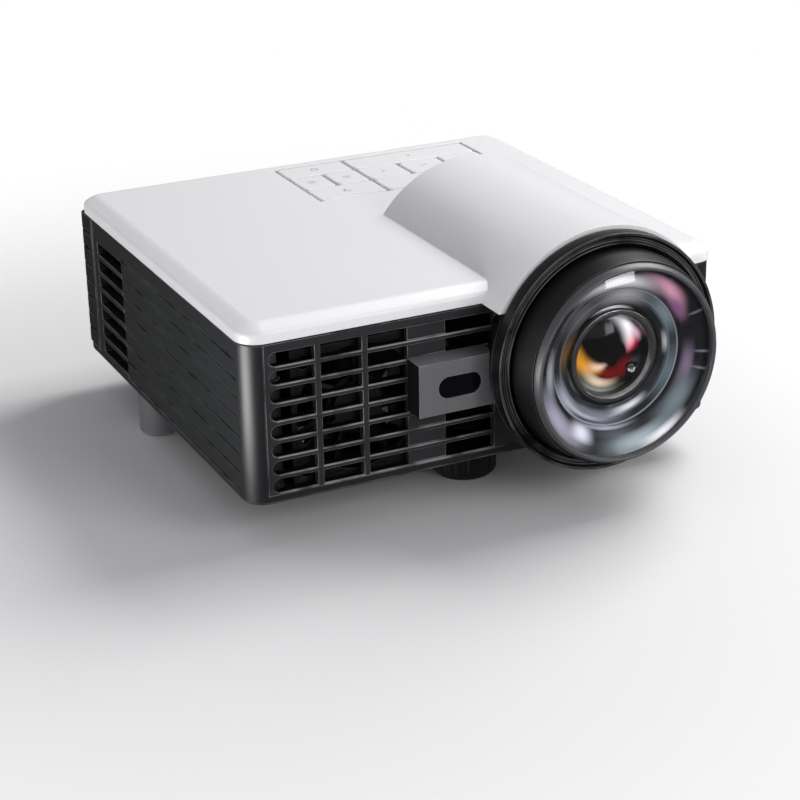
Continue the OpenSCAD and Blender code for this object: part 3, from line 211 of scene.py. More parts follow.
def makeWorld():
    world = bpy.data.worlds.new("paleStudio")
    scene.world = world
    world.use_nodes = True
    tree = world.node_tree
    tree.nodes.clear()
    out = newNode(tree, "OutputWorld")
    path = newNode(tree, "LightPath").outputs
    light = newNode(tree, "Background")
    light.inputs["Color"].default_value = (*studio["worldTint"], 1)
    shift = studio["worldMirror"] - studio["worldLight"]
    strength = mathNode(tree, "MULTIPLY_ADD", path["Is Glossy Ray"], shift, studio["worldLight"])
    feed(tree, strength, light.inputs["Strength"])
    shown = newNode(tree, "Background")
    shown.inputs["Color"].default_value = (1, 1, 1, 1)
    shown.inputs["Strength"].default_value = 1.0
    direct = mathNode(tree, "MAXIMUM", path["Is Camera Ray"], path["Is Transmission Ray"])
    mixed = mixShaders(tree, direct, light.outputs[0], shown.outputs[0])
    feed(tree, mixed, out.inputs["Surface"])


def makeLamps():
    for name, place, aim, size, watts, colour in studio["lamps"]:
        lamp = bpy.data.lights.new(name, "AREA")
        lamp.shape = "RECTANGLE"
        lamp.size, lamp.size_y = size
        lamp.energy = watts
        lamp.color = colour
        holder = bpy.data.objects.new(name, lamp)
        scene.collection.objects.link(holder)
        holder.location = place
        holder.rotation_euler = (Vector(place) - Vector(aim)).to_track_quat("Z", "Y").to_euler()


def makeFloor():
    sheet = bmesh.new()
    bmesh.ops.create_grid(sheet, x_segments=24, y_segments=24, size=studio["floorHalf"])
    mesh = bpy.data.meshes.new("paleFloor")
    sheet.to_mesh(mesh)
    sheet.free()
    floor = bpy.data.objects.new("paleFloor", mesh)
    scene.collection.objects.link(floor)
    made, tree, matt, out = newMaterial(
        "paleFloor", Base_Color=(*studio["floorColour"], 1), Roughness=studio["floorRoughness"])
    place = objectPlace(tree)
    path = newNode(tree, "LightPath").outputs
    far = newNode(tree, "VectorMath", "LENGTH")
    feed(tree, place, far.inputs[0])
    fade = ranged(tree, far.outputs["Value"], *studio["floorFade"])
    white = newNode(tree, "Emission")
    white.inputs["Strength"].default_value = 1.0
    seen = times(tree, fade, path["Is Camera Ray"])
    base = mixShaders(tree, seen, matt.outputs[0], white.outputs[0])
    # what polished faces show of the floor
    fromCard = newNode(tree, "VectorMath", "DISTANCE")
    feed(tree, place, fromCard.inputs[0])
    fromCard.inputs[1].default_value = studio["cardPlace"]
    reach = studio["cardReach"]
    card = ranged(
        tree, fromCard.outputs["Value"], reach * studio["cardCore"], reach,
        studio["cardLight"], studio["floorMirror"])
    shine = newNode(tree, "Emission")
    feed(tree, card, shine.inputs["Strength"])
    both = mixShaders(tree, path["Is Glossy Ray"], base, shine.outputs[0])
    feed(tree, both, out.inputs["Surface"])
    mesh.materials.append(made)


makeWorld()
makeLamps()
makeFloor()
scene.view_settings.view_transform = "Standard"

print("stage: effects")


def newGroup(name, inputs, outputs):
    # a tuple, or the name Colour, makes a colour socket; anything else makes a plain value
    group = bpy.data.node_groups.new(name, "ShaderNodeTree")
    for label, value in inputs.items():
        kind = "NodeSocketColor" if isinstance(value, tuple) else "NodeSocketFloat"
        socket = group.interface.new_socket(label, in_out="INPUT", socket_type=kind)
        socket.default_value = value
    for label in outputs:
        kind = "NodeSocketColor" if label == "Colour" else "NodeSocketFloat"
        group.interface.new_socket(label, in_out="OUTPUT", socket_type=kind)
    given = group.nodes.new("NodeGroupInput").outputs
    return group, given, group.nodes.new("NodeGroupOutput").inputs


grain = {
    "fineHeight": 0.7,
    "pitHeight": 0.45,
    "mottleScale": 38.0,
    "fineShade": 0.6,
    "wideShade": 0.4,
    "shadeGain": 3.0,
    "roughGain": 1.6,
}


def makeMouldGrain():
    group, given, out = newGroup(
        "mouldGrain",
        {"Colour": (0.5, 0.5, 0.5, 1), "Grain Size": 0.35, "Mottle": 0.08, "Roughness": 0.5},
        ["Colour", "Height", "Roughness"],
    )
    place = objectPlace(group)
    scale = mathNode(group, "DIVIDE", 1000.0, given["Grain Size"])
    fine = noiseNode(group, place, scale, 2.0)
    pits = newNode(group, "TexVoronoi")
    feed(group, place, pits.inputs["Vector"])
    feed(group, scale, pits.inputs["Scale"])
    raised = times(group, fine, grain["fineHeight"])
    sunk = times(group, pits.outputs["Distance"], grain["pitHeight"])
    feed(group, plus(group, raised, sunk), out["Height"])
    wide = noiseNode(group, place, grain["mottleScale"], 3.0)
    fineShade = times(group, fine, grain["fineShade"])
    wideShade = times(group, wide, grain["wideShade"])
    shade = plus(group, fineShade, wideShade)
    lift = times(group, minus(group, shade, 0.5), given["Mottle"])
    level = greyOf(group, plus(group, 1.0, times(group, lift, grain["shadeGain"])))
    feed(group, mixColour(group, 1.0, given["Colour"], level, "MULTIPLY"), out["Colour"])
    rough = plus(group, given["Roughness"], times(group, lift, grain["roughGain"]), clamp=True)
    feed(group, rough, out["Roughness"])
    return group


edgePatches = {"scale": 160.0, "low": 0.3, "high": 0.62}


# lighter colour along the bevelled edges: partly wear, partly a painted highlight on the edges
def makeEdgeWearAndHighlight():
    group, given, out = newGroup(
        "edgeWearAndHighlight",
        {
            "Colour": (0.1, 0.1, 0.1, 1),
            "Worn Colour": (0.3, 0.3, 0.3, 1),
            "Amount": 0.5,
            "Roughness": 0.5,
            "Worn Roughness": 0.3,
        },
        ["Colour", "Roughness"],
    )
    edge = newNode(group, "Attribute")
    edge.attribute_name = "edge"
    spots = noiseNode(group, objectPlace(group), edgePatches["scale"], 4.0)
    patchy = ranged(group, spots, edgePatches["low"], edgePatches["high"])
    mask = times(group, times(group, edge.outputs["Fac"], patchy), given["Amount"], clamp=True)
    feed(group, mixColour(group, mask, given["Colour"], given["Worn Colour"]), out["Colour"])
    rough = newNode(group, "Mix")
    for socket, value in ((0, mask), (2, given["Roughness"]), (3, given["Worn Roughness"])):
        feed(group, value, rough.inputs[socket])
    feed(group, rough.outputs[0], out["Roughness"])
    return group


dust = {"speckScale": 900.0, "speckShare": 0.6, "cloudScale": 45.0, "cloudShare": 0.4}


def makeDust():
    group, given, out = newGroup(
        "settledDust",
        {"Colour": (0.1, 0.1, 0.1, 1), "Dust Colour": (0.55, 0.54, 0.52, 1), "Amount": 0.1},
        ["Colour"],
    )
    place = objectPlace(group)
    facing = newNode(group, "SeparateXYZ")
    feed(group, newNode(group, "NewGeometry").outputs["Normal"], facing.inputs[0])
    upward = ranged(group, facing.outputs["Z"], 0.2, 0.95)
    specks = ranged(group, noiseNode(group, place, dust["speckScale"], 2.0, 0.7), 0.56, 0.78)
    clouds = ranged(group, noiseNode(group, place, dust["cloudScale"], 4.0), 0.35, 0.75)
    both = plus(
        group, times(group, specks, dust["speckShare"]), times(group, clouds, dust["cloudShare"]))
    mask = times(group, times(group, upward, both), given["Amount"], clamp=True)
    feed(group, mixColour(group, mask, given["Colour"], given["Dust Colour"]), out["Colour"])
    return group


lensAxis = Vector((22.15, -42.0, 33.7)) * mm


def lensPlace(tree):
    # radius and turn round the lens axis, and depth along it
    apart = newNode(tree, "SeparateXYZ")
    feed(tree, objectPlace(tree), apart.inputs[0])
    across = minus(tree, apart.outputs["X"], lensAxis.x)
    upright = minus(tree, apart.outputs["Z"], lensAxis.z)
    squares = plus(tree, times(tree, across, across), times(tree, upright, upright))
    radius = mathNode(tree, "SQRT", squares)
    turn = mathNode(tree, "ARCTAN2", upright, across)
    return radius, turn, apart.outputs["Y"]


turning = {"coneShare": 0.7, "smear": 0.35, "low": 0.3, "high": 0.7, "darkest": 0.82}


def makeTurned():
    group, given, out = newGroup(
        "turnedRings",
        {"Ring Pitch": 0.12, "Roughness": 0.3, "Spread": 0.12},
        ["Height", "Roughness", "Shade"],
    )
    radius, turn, depth = lensPlace(group)
    rings = newNode(group, "CombineXYZ")
    along = plus(group, radius, times(group, depth, turning["coneShare"]))
    count = mathNode(group, "DIVIDE", 1000.0, given["Ring Pitch"])
    feed(group, times(group, along, count), rings.inputs[0])
    feed(group, times(group, turn, turning["smear"]), rings.inputs[1])
    grooves = noiseNode(group, rings.outputs[0], 1.0, 2.0)
    feed(group, grooves, out["Height"])
    spread = times(group, minus(group, grooves, 0.5), given["Spread"])
    feed(group, plus(group, given["Roughness"], spread, clamp=True), out["Roughness"])
    shade = ranged(group, grooves, turning["low"], turning["high"], turning["darkest"], 1.0)
    feed(group, shade, out["Shade"])
    return group


patchEdge = {"hillPower": 1.1, "cosineLimit": 0.99999}


def makeAroundLens():
    # how near a place is to a chosen direction round the lens
    group, given, out = newGroup(
        "aroundLens",
        {"Direction": 90.0, "Reach": 60.0, "Inner Radius": 0.0, "Outer Radius": 30.0, "Slant": 0.0},
        ["Mask"],
    )
    radius, turn, depth = lensPlace(group)
    middle = times(group, plus(group, given["Inner Radius"], given["Outer Radius"]), 0.5)
    off = minus(group, mathNode(group, "DIVIDE", radius, mm), middle)
    leaning = plus(group, given["Direction"], times(group, off, given["Slant"]))
    aim = mathNode(group, "RADIANS", leaning)
    cosine = mathNode(group, "COSINE", minus(group, turn, aim))
    near = mathNode(group, "ARCCOSINE", times(group, cosine, patchEdge["cosineLimit"]))
    reach = mathNode(group, "RADIANS", given["Reach"])
    side = ranged(group, mathNode(group, "DIVIDE", near, reach), 0.0, 1.0, 1.0, 0.0)
    inner = times(group, given["Inner Radius"], mm)
    outer = times(group, given["Outer Radius"], mm)
    across = ranged(group, radius, inner, outer, smooth=False)
    hill = times(group, times(group, across, minus(group, 1.0, across)), 4.0)
    rounded = mathNode(group, "POWER", hill, patchEdge["hillPower"])
    feed(group, times(group, side, rounded, clamp=True), out["Mask"])
    return group


mouldGrain = makeMouldGrain()
edgeWearAndHighlight = makeEdgeWearAndHighlight()
settledDust = makeDust()
turnedRings = makeTurned()
aroundLens = makeAroundLens()

print("stage: finishes")


def placeGroup(tree, group, **values):
    node = newNode(tree, "Group")
    node.node_tree = group
    for label, value in values.items():
        feed(tree, value, node.inputs[label.replace("_", " ")])
    return node.outputs


def bumped(tree, shader, height, distance):
    bump = newNode(tree, "Bump")
    for label, value in (("Distance", distance), ("Strength", 1.0), ("Height", height)):
        feed(tree, value, bump.inputs[label])
    feed(tree, bump.outputs[0], shader.inputs["Normal"])


plastics = {
    # colour, roughness, grain mm, grain depth m, mottle,
    # then worn colour, worn roughness, wear, dust, coat, gloss; the worn colour on the edges is
    # partly wear and partly a painted highlight
    "caseBlack": ((0.012, 0.0127, 0.0138), 0.40, 0.30, 1.6e-5, 0.10,
        (0.15, 0.155, 0.16), 0.30, 0.9, 0.03, 0.0, 0.40),
    "grilleBlack": ((0.022, 0.023, 0.025), 0.42, 0.30, 1.2e-5, 0.10,
        (0.23, 0.235, 0.24), 0.26, 1.0, 0.03, 0.0, 0.35),
    "panelBlack": ((0.008, 0.0084, 0.0092), 0.44, 0.30, 1.6e-5, 0.10,
        (0.15, 0.155, 0.16), 0.30, 0.9, 0.03, 0.0, 0.35),
    "housingGrey": ((0.13, 0.132, 0.138), 0.42, 0.26, 1.2e-5, 0.08,
        (0.24, 0.245, 0.25), 0.28, 1.0, 0.03, 0.0, 0.35),
    "coverWhite": ((0.86, 0.858, 0.875), 0.34, 0.5, 2.0e-6, 0.012,
        (0.90, 0.90, 0.92), 0.22, 0.7, 0.02, 0.15, 0.40),
    # near black that stands for painted shade in the grille's slots and on the housing's left side
    "paintedShadeBlack": ((0.0035, 0.0036, 0.0040), 0.60, 0.30, 8.0e-6, 0.10,
        (0.010, 0.010, 0.011), 0.50, 0.3, 0.0, 0.0, 0.10),
    # dark grey that stands for painted shade on the white cover's hidden and inner faces
    "coverInsideShade": ((0.050, 0.051, 0.054), 0.60, 0.5, 4.0e-6, 0.10,
        (0.10, 0.10, 0.11), 0.50, 0.5, 0.05, 0.0, 0.25),
    "keyWhite": ((0.86, 0.858, 0.875), 0.32, 0.5, 2.0e-6, 0.012,
        (0.88, 0.88, 0.90), 0.24, 0.6, 0.02, 0.15, 0.40),
    "webGrey": ((0.42, 0.425, 0.44), 0.55, 0.4, 2.0e-6, 0.04,
        (0.46, 0.465, 0.48), 0.45, 0.3, 0.03, 0.0, 0.25),
    "markGrey": ((0.50, 0.51, 0.53), 0.45, 0.4, 1.0e-6, 0.05,
        (0.45, 0.46, 0.48), 0.40, 0.3, 0.02, 0.0, 0.30),
    "collarBlack": ((0.0045, 0.0047, 0.0053), 0.36, 0.28, 5.0e-6, 0.06,
        (0.16, 0.165, 0.17), 0.22, 1.0, 0.02, 0.0, 0.32),
    "wheelRubber": ((0.0035, 0.0035, 0.004), 0.62, 0.4, 2.0e-5, 0.12,
        (0.012, 0.012, 0.012), 0.5, 0.8, 0.0, 0.0, 0.20),
    "footGrey": ((0.13, 0.132, 0.138), 0.40, 0.35, 1.0e-5, 0.08,
        (0.22, 0.22, 0.23), 0.3, 0.8, 0.04, 0.0, 0.40),
    "fanBlack": ((0.006, 0.0062, 0.0066), 0.45, 0.4, 8.0e-6, 0.08,
        (0.020, 0.020, 0.022), 0.4, 0.6, 0.02, 0.0, 0.20),
    "chipBlack": ((0.012, 0.012, 0.013), 0.40, 0.4, 4.0e-6, 0.08,
        (0.05, 0.05, 0.05), 0.3, 0.5, 0.04, 0.0, 0.40),
    "socketBlack": ((0.012, 0.012, 0.013), 0.30, 0.4, 4.0e-6, 0.05,
        (0.06, 0.06, 0.06), 0.2, 0.6, 0.03, 0.0, 0.45),
    "boardGreen": ((0.022, 0.12, 0.060), 0.28, 0.7, 1.0e-5, 0.14,
        (0.15, 0.26, 0.17), 0.3, 0.5, 0.06, 0.3, 0.50),
    "ribbonWhite": ((0.60, 0.59, 0.55), 0.4, 0.8, 1.0e-5, 0.06,
        (0.7, 0.7, 0.66), 0.3, 0.4, 0.05, 0.0, 0.50),
    "engineGrey": ((0.10, 0.104, 0.11), 0.45, 0.6, 3.0e-5, 0.16,
        (0.22, 0.22, 0.23), 0.3, 0.7, 0.05, 0.0, 0.50),
    "lampBoard": ((0.62, 0.62, 0.60), 0.35, 0.7, 1.0e-5, 0.10,
        (0.7, 0.7, 0.68), 0.3, 0.5, 0.05, 0.2, 0.50),
}


def finishShader(tree, shader, colour, rough, height, depth):
    feed(tree, colour, shader.inputs["Base Color"])
    feed(tree, rough, shader.inputs["Roughness"])
    bumped(tree, shader, height, depth)


def makePlastic(name):
    colour, rough, size, depth, mottle, *used = plastics[name]
    wornAndLit, wornRough, edgeAmount, dustAmount, coat, gloss = used
    made, tree, shader, out = newMaterial(
        name, Coat_Weight=coat, Coat_Roughness=0.18, Specular_IOR_Level=gloss)
    moulded = placeGroup(
        tree, mouldGrain, Colour=(*colour, 1), Grain_Size=size, Mottle=mottle, Roughness=rough)
    rubbed = placeGroup(
        tree, edgeWearAndHighlight, Colour=moulded["Colour"], Worn_Colour=(*wornAndLit, 1), Amount=edgeAmount,
        Roughness=moulded["Roughness"], Worn_Roughness=wornRough)
    dusty = placeGroup(tree, settledDust, Colour=rubbed["Colour"], Amount=dustAmount)
    finishShader(tree, shader, dusty["Colour"], rubbed["Roughness"], moulded["Height"], depth)
    return made


metals = {
    # colour, roughness, ring pitch mm, depth m, metallic
    "barrelBlack": ((0.004, 0.0042, 0.0048), 0.38, 0.25, 3.0e-6, 0.0),
    "rimGrey":
        ((0.085, 0.087, 0.092), 0.38, 0.10, 2.0e-6, 0.15),
    "retainerBright": ((0.24, 0.237, 0.228), 0.24, 0.08, 2.0e-6, 1.0),
    "tubeGrey":
        ((0.12, 0.124, 0.132), 0.38, 0.3, 6.0e-6, 0.8),
}


def makeTurnedMetal(name):
    colour, rough, pitch, depth, metal = metals[name]
    made, tree, shader, out = newMaterial(name, Metallic=metal)
    turned = placeGroup(tree, turnedRings, Ring_Pitch=pitch, Roughness=rough)
    # lighter edge colour: wear and a painted highlight
    wornAndLit = [min(1.0, channel * 1.8 + 0.05) for channel in colour]
    rubbed = placeGroup(
        tree, edgeWearAndHighlight, Colour=(*colour, 1), Worn_Colour=(*wornAndLit, 1), Amount=0.7,
        Roughness=turned["Roughness"], Worn_Roughness=rough * 0.7)
    shaded = mixColour(tree, 1.0, rubbed["Colour"], greyOf(tree, turned["Shade"]), "MULTIPLY")
    finishShader(tree, shader, shaded, rubbed["Roughness"], turned["Height"], depth)
    return made


castMetals = {
    # colour, roughness, grain mm, depth m, mottle
    "sinkMetal": ((0.62, 0.63, 0.65), 0.32, 1.2, 6.0e-6, 0.10),
    "steel":
        ((0.55, 0.56, 0.58), 0.26, 0.6, 3.0e-6, 0.10),
    "socketMetal": ((0.66, 0.66, 0.68), 0.22, 0.9, 2.0e-6, 0.06),
    "copper":
        ((0.72, 0.36, 0.20), 0.28, 1.0, 4.0e-6, 0.12),
    "brass": ((0.68, 0.50, 0.22), 0.27, 0.8, 4.0e-6, 0.10),
    "goldContact":
        ((0.85, 0.62, 0.25), 0.22, 0.8, 1.0e-6, 0.04),
}


def makeCastMetal(name):
    colour, rough, size, depth, mottle = castMetals[name]
    made, tree, shader, out = newMaterial(name, Metallic=1.0)
    cast = placeGroup(
        tree, mouldGrain, Colour=(*colour, 1), Grain_Size=size, Mottle=mottle, Roughness=rough)
    # lighter edge colour: wear and a painted highlight
    rubbed = placeGroup(
        tree, edgeWearAndHighlight, Colour=cast["Colour"], Worn_Colour=(0.85, 0.85, 0.86, 1), Amount=0.5,
        Roughness=cast["Roughness"], Worn_Roughness=0.18)
    finishShader(tree, shader, rubbed["Colour"], rubbed["Roughness"], cast["Height"], depth)
    return made


glasses = {
    # colour, coat
    "frontGlass": ((0.97, 0.975, 0.99), 0.0),
    "innerClear": ((0.90, 0.95, 0.98), 0.0),
    "mirrorGlass": ((0.55, 0.70, 0.95), 0.4),
}


def makeGlass(name):
    colour, coat = glasses[name]
    rough = 0.02
    made, tree, shader, out = newMaterial(
        name, Transmission_Weight=1.0, IOR=1.45, Coat_Weight=coat, Coat_Roughness=0.02)
    place = objectPlace(tree)
    smudge = ranged(tree, noiseNode(tree, place, 70.0, 4.0), 0.45, 0.8, rough, rough + 0.05)
    feed(tree, smudge, shader.inputs["Roughness"])
    deeper = [channel * 0.97 for channel in colour]
    tint = mixColour(tree, noiseNode(tree, place, 30.0, 1.0), (*colour, 1), (*deeper, 1))
    feed(tree, tint, shader.inputs["Base Color"])
    clear = newNode(tree, "BsdfTransparent")
    clear.inputs["Color"].default_value = (*colour, 1)
    shadow = newNode(tree, "LightPath").outputs["Is Shadow Ray"]
    mixed = mixShaders(tree, shadow, shader.outputs[0], clear.outputs[0])
    feed(tree, mixed, out.inputs["Surface"])
    return made


def makeSmoked():
    made, tree, shader, out = newMaterial("smokedWindow", Specular_IOR_Level=0.25)
    place = objectPlace(tree)
    cloudy = noiseNode(tree, place, 140.0, 2.0)
    deep = mixColour(tree, cloudy, (0.0015, 0.0012, 0.002, 1), (0.003, 0.002, 0.004, 1))
    feed(tree, deep, shader.inputs["Base Color"])
    smear = ranged(tree, noiseNode(tree, place, 90.0, 4.0), 0.4, 0.8, 0.10, 0.2)
    feed(tree, smear, shader.inputs["Roughness"])
    return made


finish = {name: makePlastic(name) for name in plastics}
finish.update({name: makeTurnedMetal(name) for name in metals})
finish.update({name: makeCastMetal(name) for name in castMetals})
finish.update({name: makeGlass(name) for name in glasses})
finish["smokedWindow"] = makeSmoked()

print("stage: solids")
bodies = frame["record"]["behaviour"]["bodies"]
bodyOf = {node: body for body, nodes in bodies.items() for node in nodes}

meshing = {
    "bevelFrom": math.radians(28),  # edges that turn more are rounded
    "creaseFrom": math.radians(42),  # edges that turn more stay sharp in the shading
    "flattenUnder": math.radians(0.25),
    "weld": 2e-6,
    "fineWeld": 1e-7,
    "rounds": 2,
}


def finishPiece(name, sheet, materials, body, hides=(), weighted=True):
    mesh = bpy.data.meshes.new(name)
    for face in sheet.faces:
        face.smooth = True
    for edge in sheet.edges:
        edge.smooth = not (edge.is_manifold and edge.calc_face_angle(0) > meshing["creaseFrom"])
    sheet.to_mesh(mesh)
    sheet.free()
    piece = bpy.data.objects.new(name, mesh)
    scene.collection.objects.link(piece)
    for material in materials:
        mesh.materials.append(finish[material])
    if weighted:
        keep = piece.modifiers.new("faceNormals", "WEIGHTED_NORMAL")
        keep.keep_sharp = True
        keep.weight = 80
    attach(piece, body)
    if hides:
        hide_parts(*hides)


def newSheet():
    sheet = bmesh.new()
    sheet.faces.layers.float.new("edge")
    return sheet


def closeUp(sheet):
    bmesh.ops.remove_doubles(sheet, verts=sheet.verts, dist=meshing["fineWeld"])
    bmesh.ops.recalc_face_normals(sheet, faces=sheet.faces)


def splitLarge(sheet):
    large = [face for face in sheet.faces if len(face.verts) > 4]
    bmesh.ops.triangulate(sheet, faces=large, ngon_method="BEAUTY")


def bevelEdges(sheet, width):
    mark = sheet.faces.layers.float.get("edge")
    sharp = [
        edge for edge in sheet.edges
        if edge.is_manifold and edge.calc_face_angle(0) > meshing["bevelFrom"]
    ]
    if not sharp:
        return
    made = bmesh.ops.bevel(
        sheet, geom=sharp, offset=width, offset_type="OFFSET", segments=meshing["rounds"],
        profile=0.5, affect="EDGES", clamp_overlap=False, loop_slide=True,
        miter_outer="SHARP", miter_inner="SHARP",
    )
    for face in made["faces"]:
        if face.is_valid:
            face[mark] = 1.0


coverInsideShade = {
    # where the cover's inside lies that is coloured dark grey as painted shade, in mm in the CAD's
    # frame
    "undersideFrom": 45.0,
    "bossSide": 53.6, "bossFront": -39.8, "bossBack": 59.8, "bossTop": 45.7,
    "boreFront": -40.5, "boreRadius": 25.3,
    "wallSide": 51, "wallFront": -38, "wallBack": 58, "wallTop": 49.0, "middle": 10,
    "skinSide": 54.6, "skinFront": -40.6, "skinBack": 60.6,
}


def underCoverShade(place, facing):
    # painted shade: the undersides, the walls that face inward, the bosses and the hump's bore take
    # dark grey
    at = coverInsideShade
    if facing.z < -0.2 and place.z > at["undersideFrom"]:
        return True
    within = abs(place.x) < at["bossSide"] and at["bossFront"] < place.y < at["bossBack"]
    across, upright = place.x - lensAxis.x / mm, place.z - lensAxis.z / mm
    toAxis = across * facing.x + upright * facing.z < -1
    inBore = place.y > at["boreFront"] and math.hypot(across, upright) < at["boreRadius"] and toAxis
    outerWall = abs(place.x) > at["wallSide"] or not at["wallFront"] <= place.y <= at["wallBack"]
    looksIn = place.x * facing.x + (place.y - at["middle"]) * facing.y < 0
    inward = outerWall and abs(facing.z) < 0.2 and place.z < at["wallTop"] and looksIn
    skin = abs(place.x) < at["skinSide"] and at["skinFront"] < place.y < at["skinBack"]
    return inBore or (within and place.z < at["bossTop"]) or (inward and skin)


# painted shade: faces that look up inside the grille's slots are coloured near black
def slotFloorShade(place, facing):
    return facing.z > 0.95 and place.y > -41.2


# painted shade: the housing's faces that look left are coloured near black
def housingLeftShade(place, facing):
    return facing.x < -0.9 and place.x < lensAxis.x / mm - 40


def mainChips(place, facing):
    return place.z > 19.75


def keypadChips(place, facing):
    return place.z > 42.7


def slotChamferHighlight(place, facing):
    return facing.y < -0.3 and 0.3 < facing.z < 0.95


# faces of a piece that take another material: real chips on the boards, painted shade on the
# cover's inside, in the grille's slots and on the housing's left side; a test on the face's middle
# (mm) and normal
partly = {
    "top_cover": ("coverInsideShade", underCoverShade),
    "front_grille": ("paintedShadeBlack", slotFloorShade),
    "sensor_housing": ("paintedShadeBlack", housingLeftShade),
    "main_board": ("chipBlack", mainChips),
    "keypad_board": ("chipBlack", keypadChips),
}
# chamfer faces that look forward and up take the lighter edge colour: a painted highlight along the
# slot edges
chamferHighlights = {"front_grille": slotChamferHighlight}


def dressNode(node, material, width):
    sheet = bmesh.new()
    sheet.from_mesh(frame["nodes"][node].data)
    bmesh.ops.remove_doubles(sheet, verts=sheet.verts, dist=meshing["weld"])
    bmesh.ops.dissolve_limit(
        sheet, angle_limit=meshing["flattenUnder"], verts=sheet.verts, edges=sheet.edges)
    splitLarge(sheet)
    mark = sheet.faces.layers.float.new("edge")
    bevelEdges(sheet, width * mm)
    splitLarge(sheet)
    sheet.normal_update()
    materials = [material]
    if node in partly:
        second, isSecond = partly[node]
        materials.append(second)
        for face in sheet.faces:
            if isSecond(face.calc_center_median() * 1000, face.normal):
                face.material_index = 1
    # painted highlight: the marked chamfers take the lighter edge colour
    if node in chamferHighlights:
        for face in sheet.faces:
            if chamferHighlights[node](face.calc_center_median() * 1000, face.normal):
                face[mark] = 1.0
    finishPiece(node + "_skin", sheet, materials, bodyOf[node], (node,))


skins = {
    # material, edge radius mm
    "lower_case": ("caseBlack", 0.12),
    "top_cover": ("coverWhite", 0.16),
    "front_grille": ("grilleBlack", 0.10),
    "rear_panel": ("panelBlack", 0.12),
    "sensor_housing": ("housingGrey", 0.14),
    "ir_window": ("smokedWindow", 0.06),
    "ir_receiver": ("smokedWindow", 0.1),
    "lens_collar": ("collarBlack", 0.10),
    "focus_ring": ("collarBlack", 0.08),
    "lens_barrel": ("barrelBlack", 0.10),
    "lens_rim": ("rimGrey", 0.06),
    "lens_retainer": ("retainerBright", 0.05),
    "lens_tube": ("tubeGrey", 0.1),
    "light_engine_housing": ("engineGrey", 0.2),
    "light_engine_lid": ("engineGrey", 0.2),
    "imaging_board": ("boardGreen", 0.1),
    "imaging_heat_sink": ("sinkMetal", 0.1),
    "red_led_board": ("lampBoard", 0.1),
    "green_led_board": ("lampBoard", 0.1),
    "blue_led_board": ("lampBoard", 0.1),
    "led_heat_sink": ("sinkMetal", 0.1),
    "heat_pipe": ("copper", 0.05),
    "main_board": ("boardGreen", 0.1),
    "keypad_board": ("boardGreen", 0.1),
    "keypad_ribbon": ("ribbonWhite", 0.05),
    "intake_fan_frame": ("fanBlack", 0.15),
    "intake_fan_rotor": ("fanBlack", 0.08),
    "exhaust_fan_frame": ("fanBlack", 0.15),
    "exhaust_fan_rotor": ("fanBlack", 0.08),
    "speaker": ("fanBlack", 0.1),
    "power_jack": ("socketBlack", 0.15),
    "sound_jack": ("socketBlack", 0.15),
    "video_socket": ("socketMetal", 0.08),
    "data_socket": ("socketMetal", 0.08),
    "wide_socket": ("socketMetal", 0.08),
    "card_slot": ("socketMetal", 0.08),
    "front_foot_screw": ("steel", 0.2),
    "front_foot_wheel": ("wheelRubber", 0.15),
    "foot_insert": ("brass", 0.15),
    "rear_feet": ("footGrey", 0.2),
    "tripod_insert": ("brass", 0.15),
    "case_screws": ("steel", 0.12),
    "inner_screws": ("steel", 0.12),
}
for key in ("power", "source", "menu", "back", "up", "left", "enter", "right", "down"):
    skins[key + "_key"] = ("keyWhite", 0.12)

for node, (material, width) in skins.items():
    dressNode(node, material, width)

glassNodes = {
    "front_glass": "frontGlass",
    "rear_glass": "innerClear",
    "prism": "innerClear",
    "collimator_lenses": "innerClear",
    "dichroic_mirrors": "mirrorGlass",
}
for node, material in glassNodes.items():
    mesh = frame["nodes"][node].data
    mesh.materials.clear()
    mesh.materials.append(finish[material])
    for face in mesh.polygons:
        face.use_smooth = True

print("stage: lens")


def turnedSheet(centre, profile, steps):
    # profile: radius and distance out along the axis, in mm; it is closed into a loop
    # unless it ends on the axis or where it began
    sheet = newSheet()
    rings = []
    for radius, reach in profile:
        ring = []
        for i in range(steps):
            turn = 2 * math.pi * i / steps
            ring.append(sheet.verts.new((
                centre[0] + radius * mm * math.cos(turn),
                centre[1] - reach * mm,
                centre[2] + radius * mm * math.sin(turn),
            )))
        rings.append(ring)
    closed = profile[0][0] > 0 and profile[-1][0] > 0 and profile[0] != profile[-1]
    for first, second in zip(rings, rings[1:] + (rings[:1] if closed else [])):
        for i in range(steps):
            j = (i + 1) % steps
            sheet.faces.new((first[i], first[j], second[j], second[i]))
    closeUp(sheet)
    return sheet


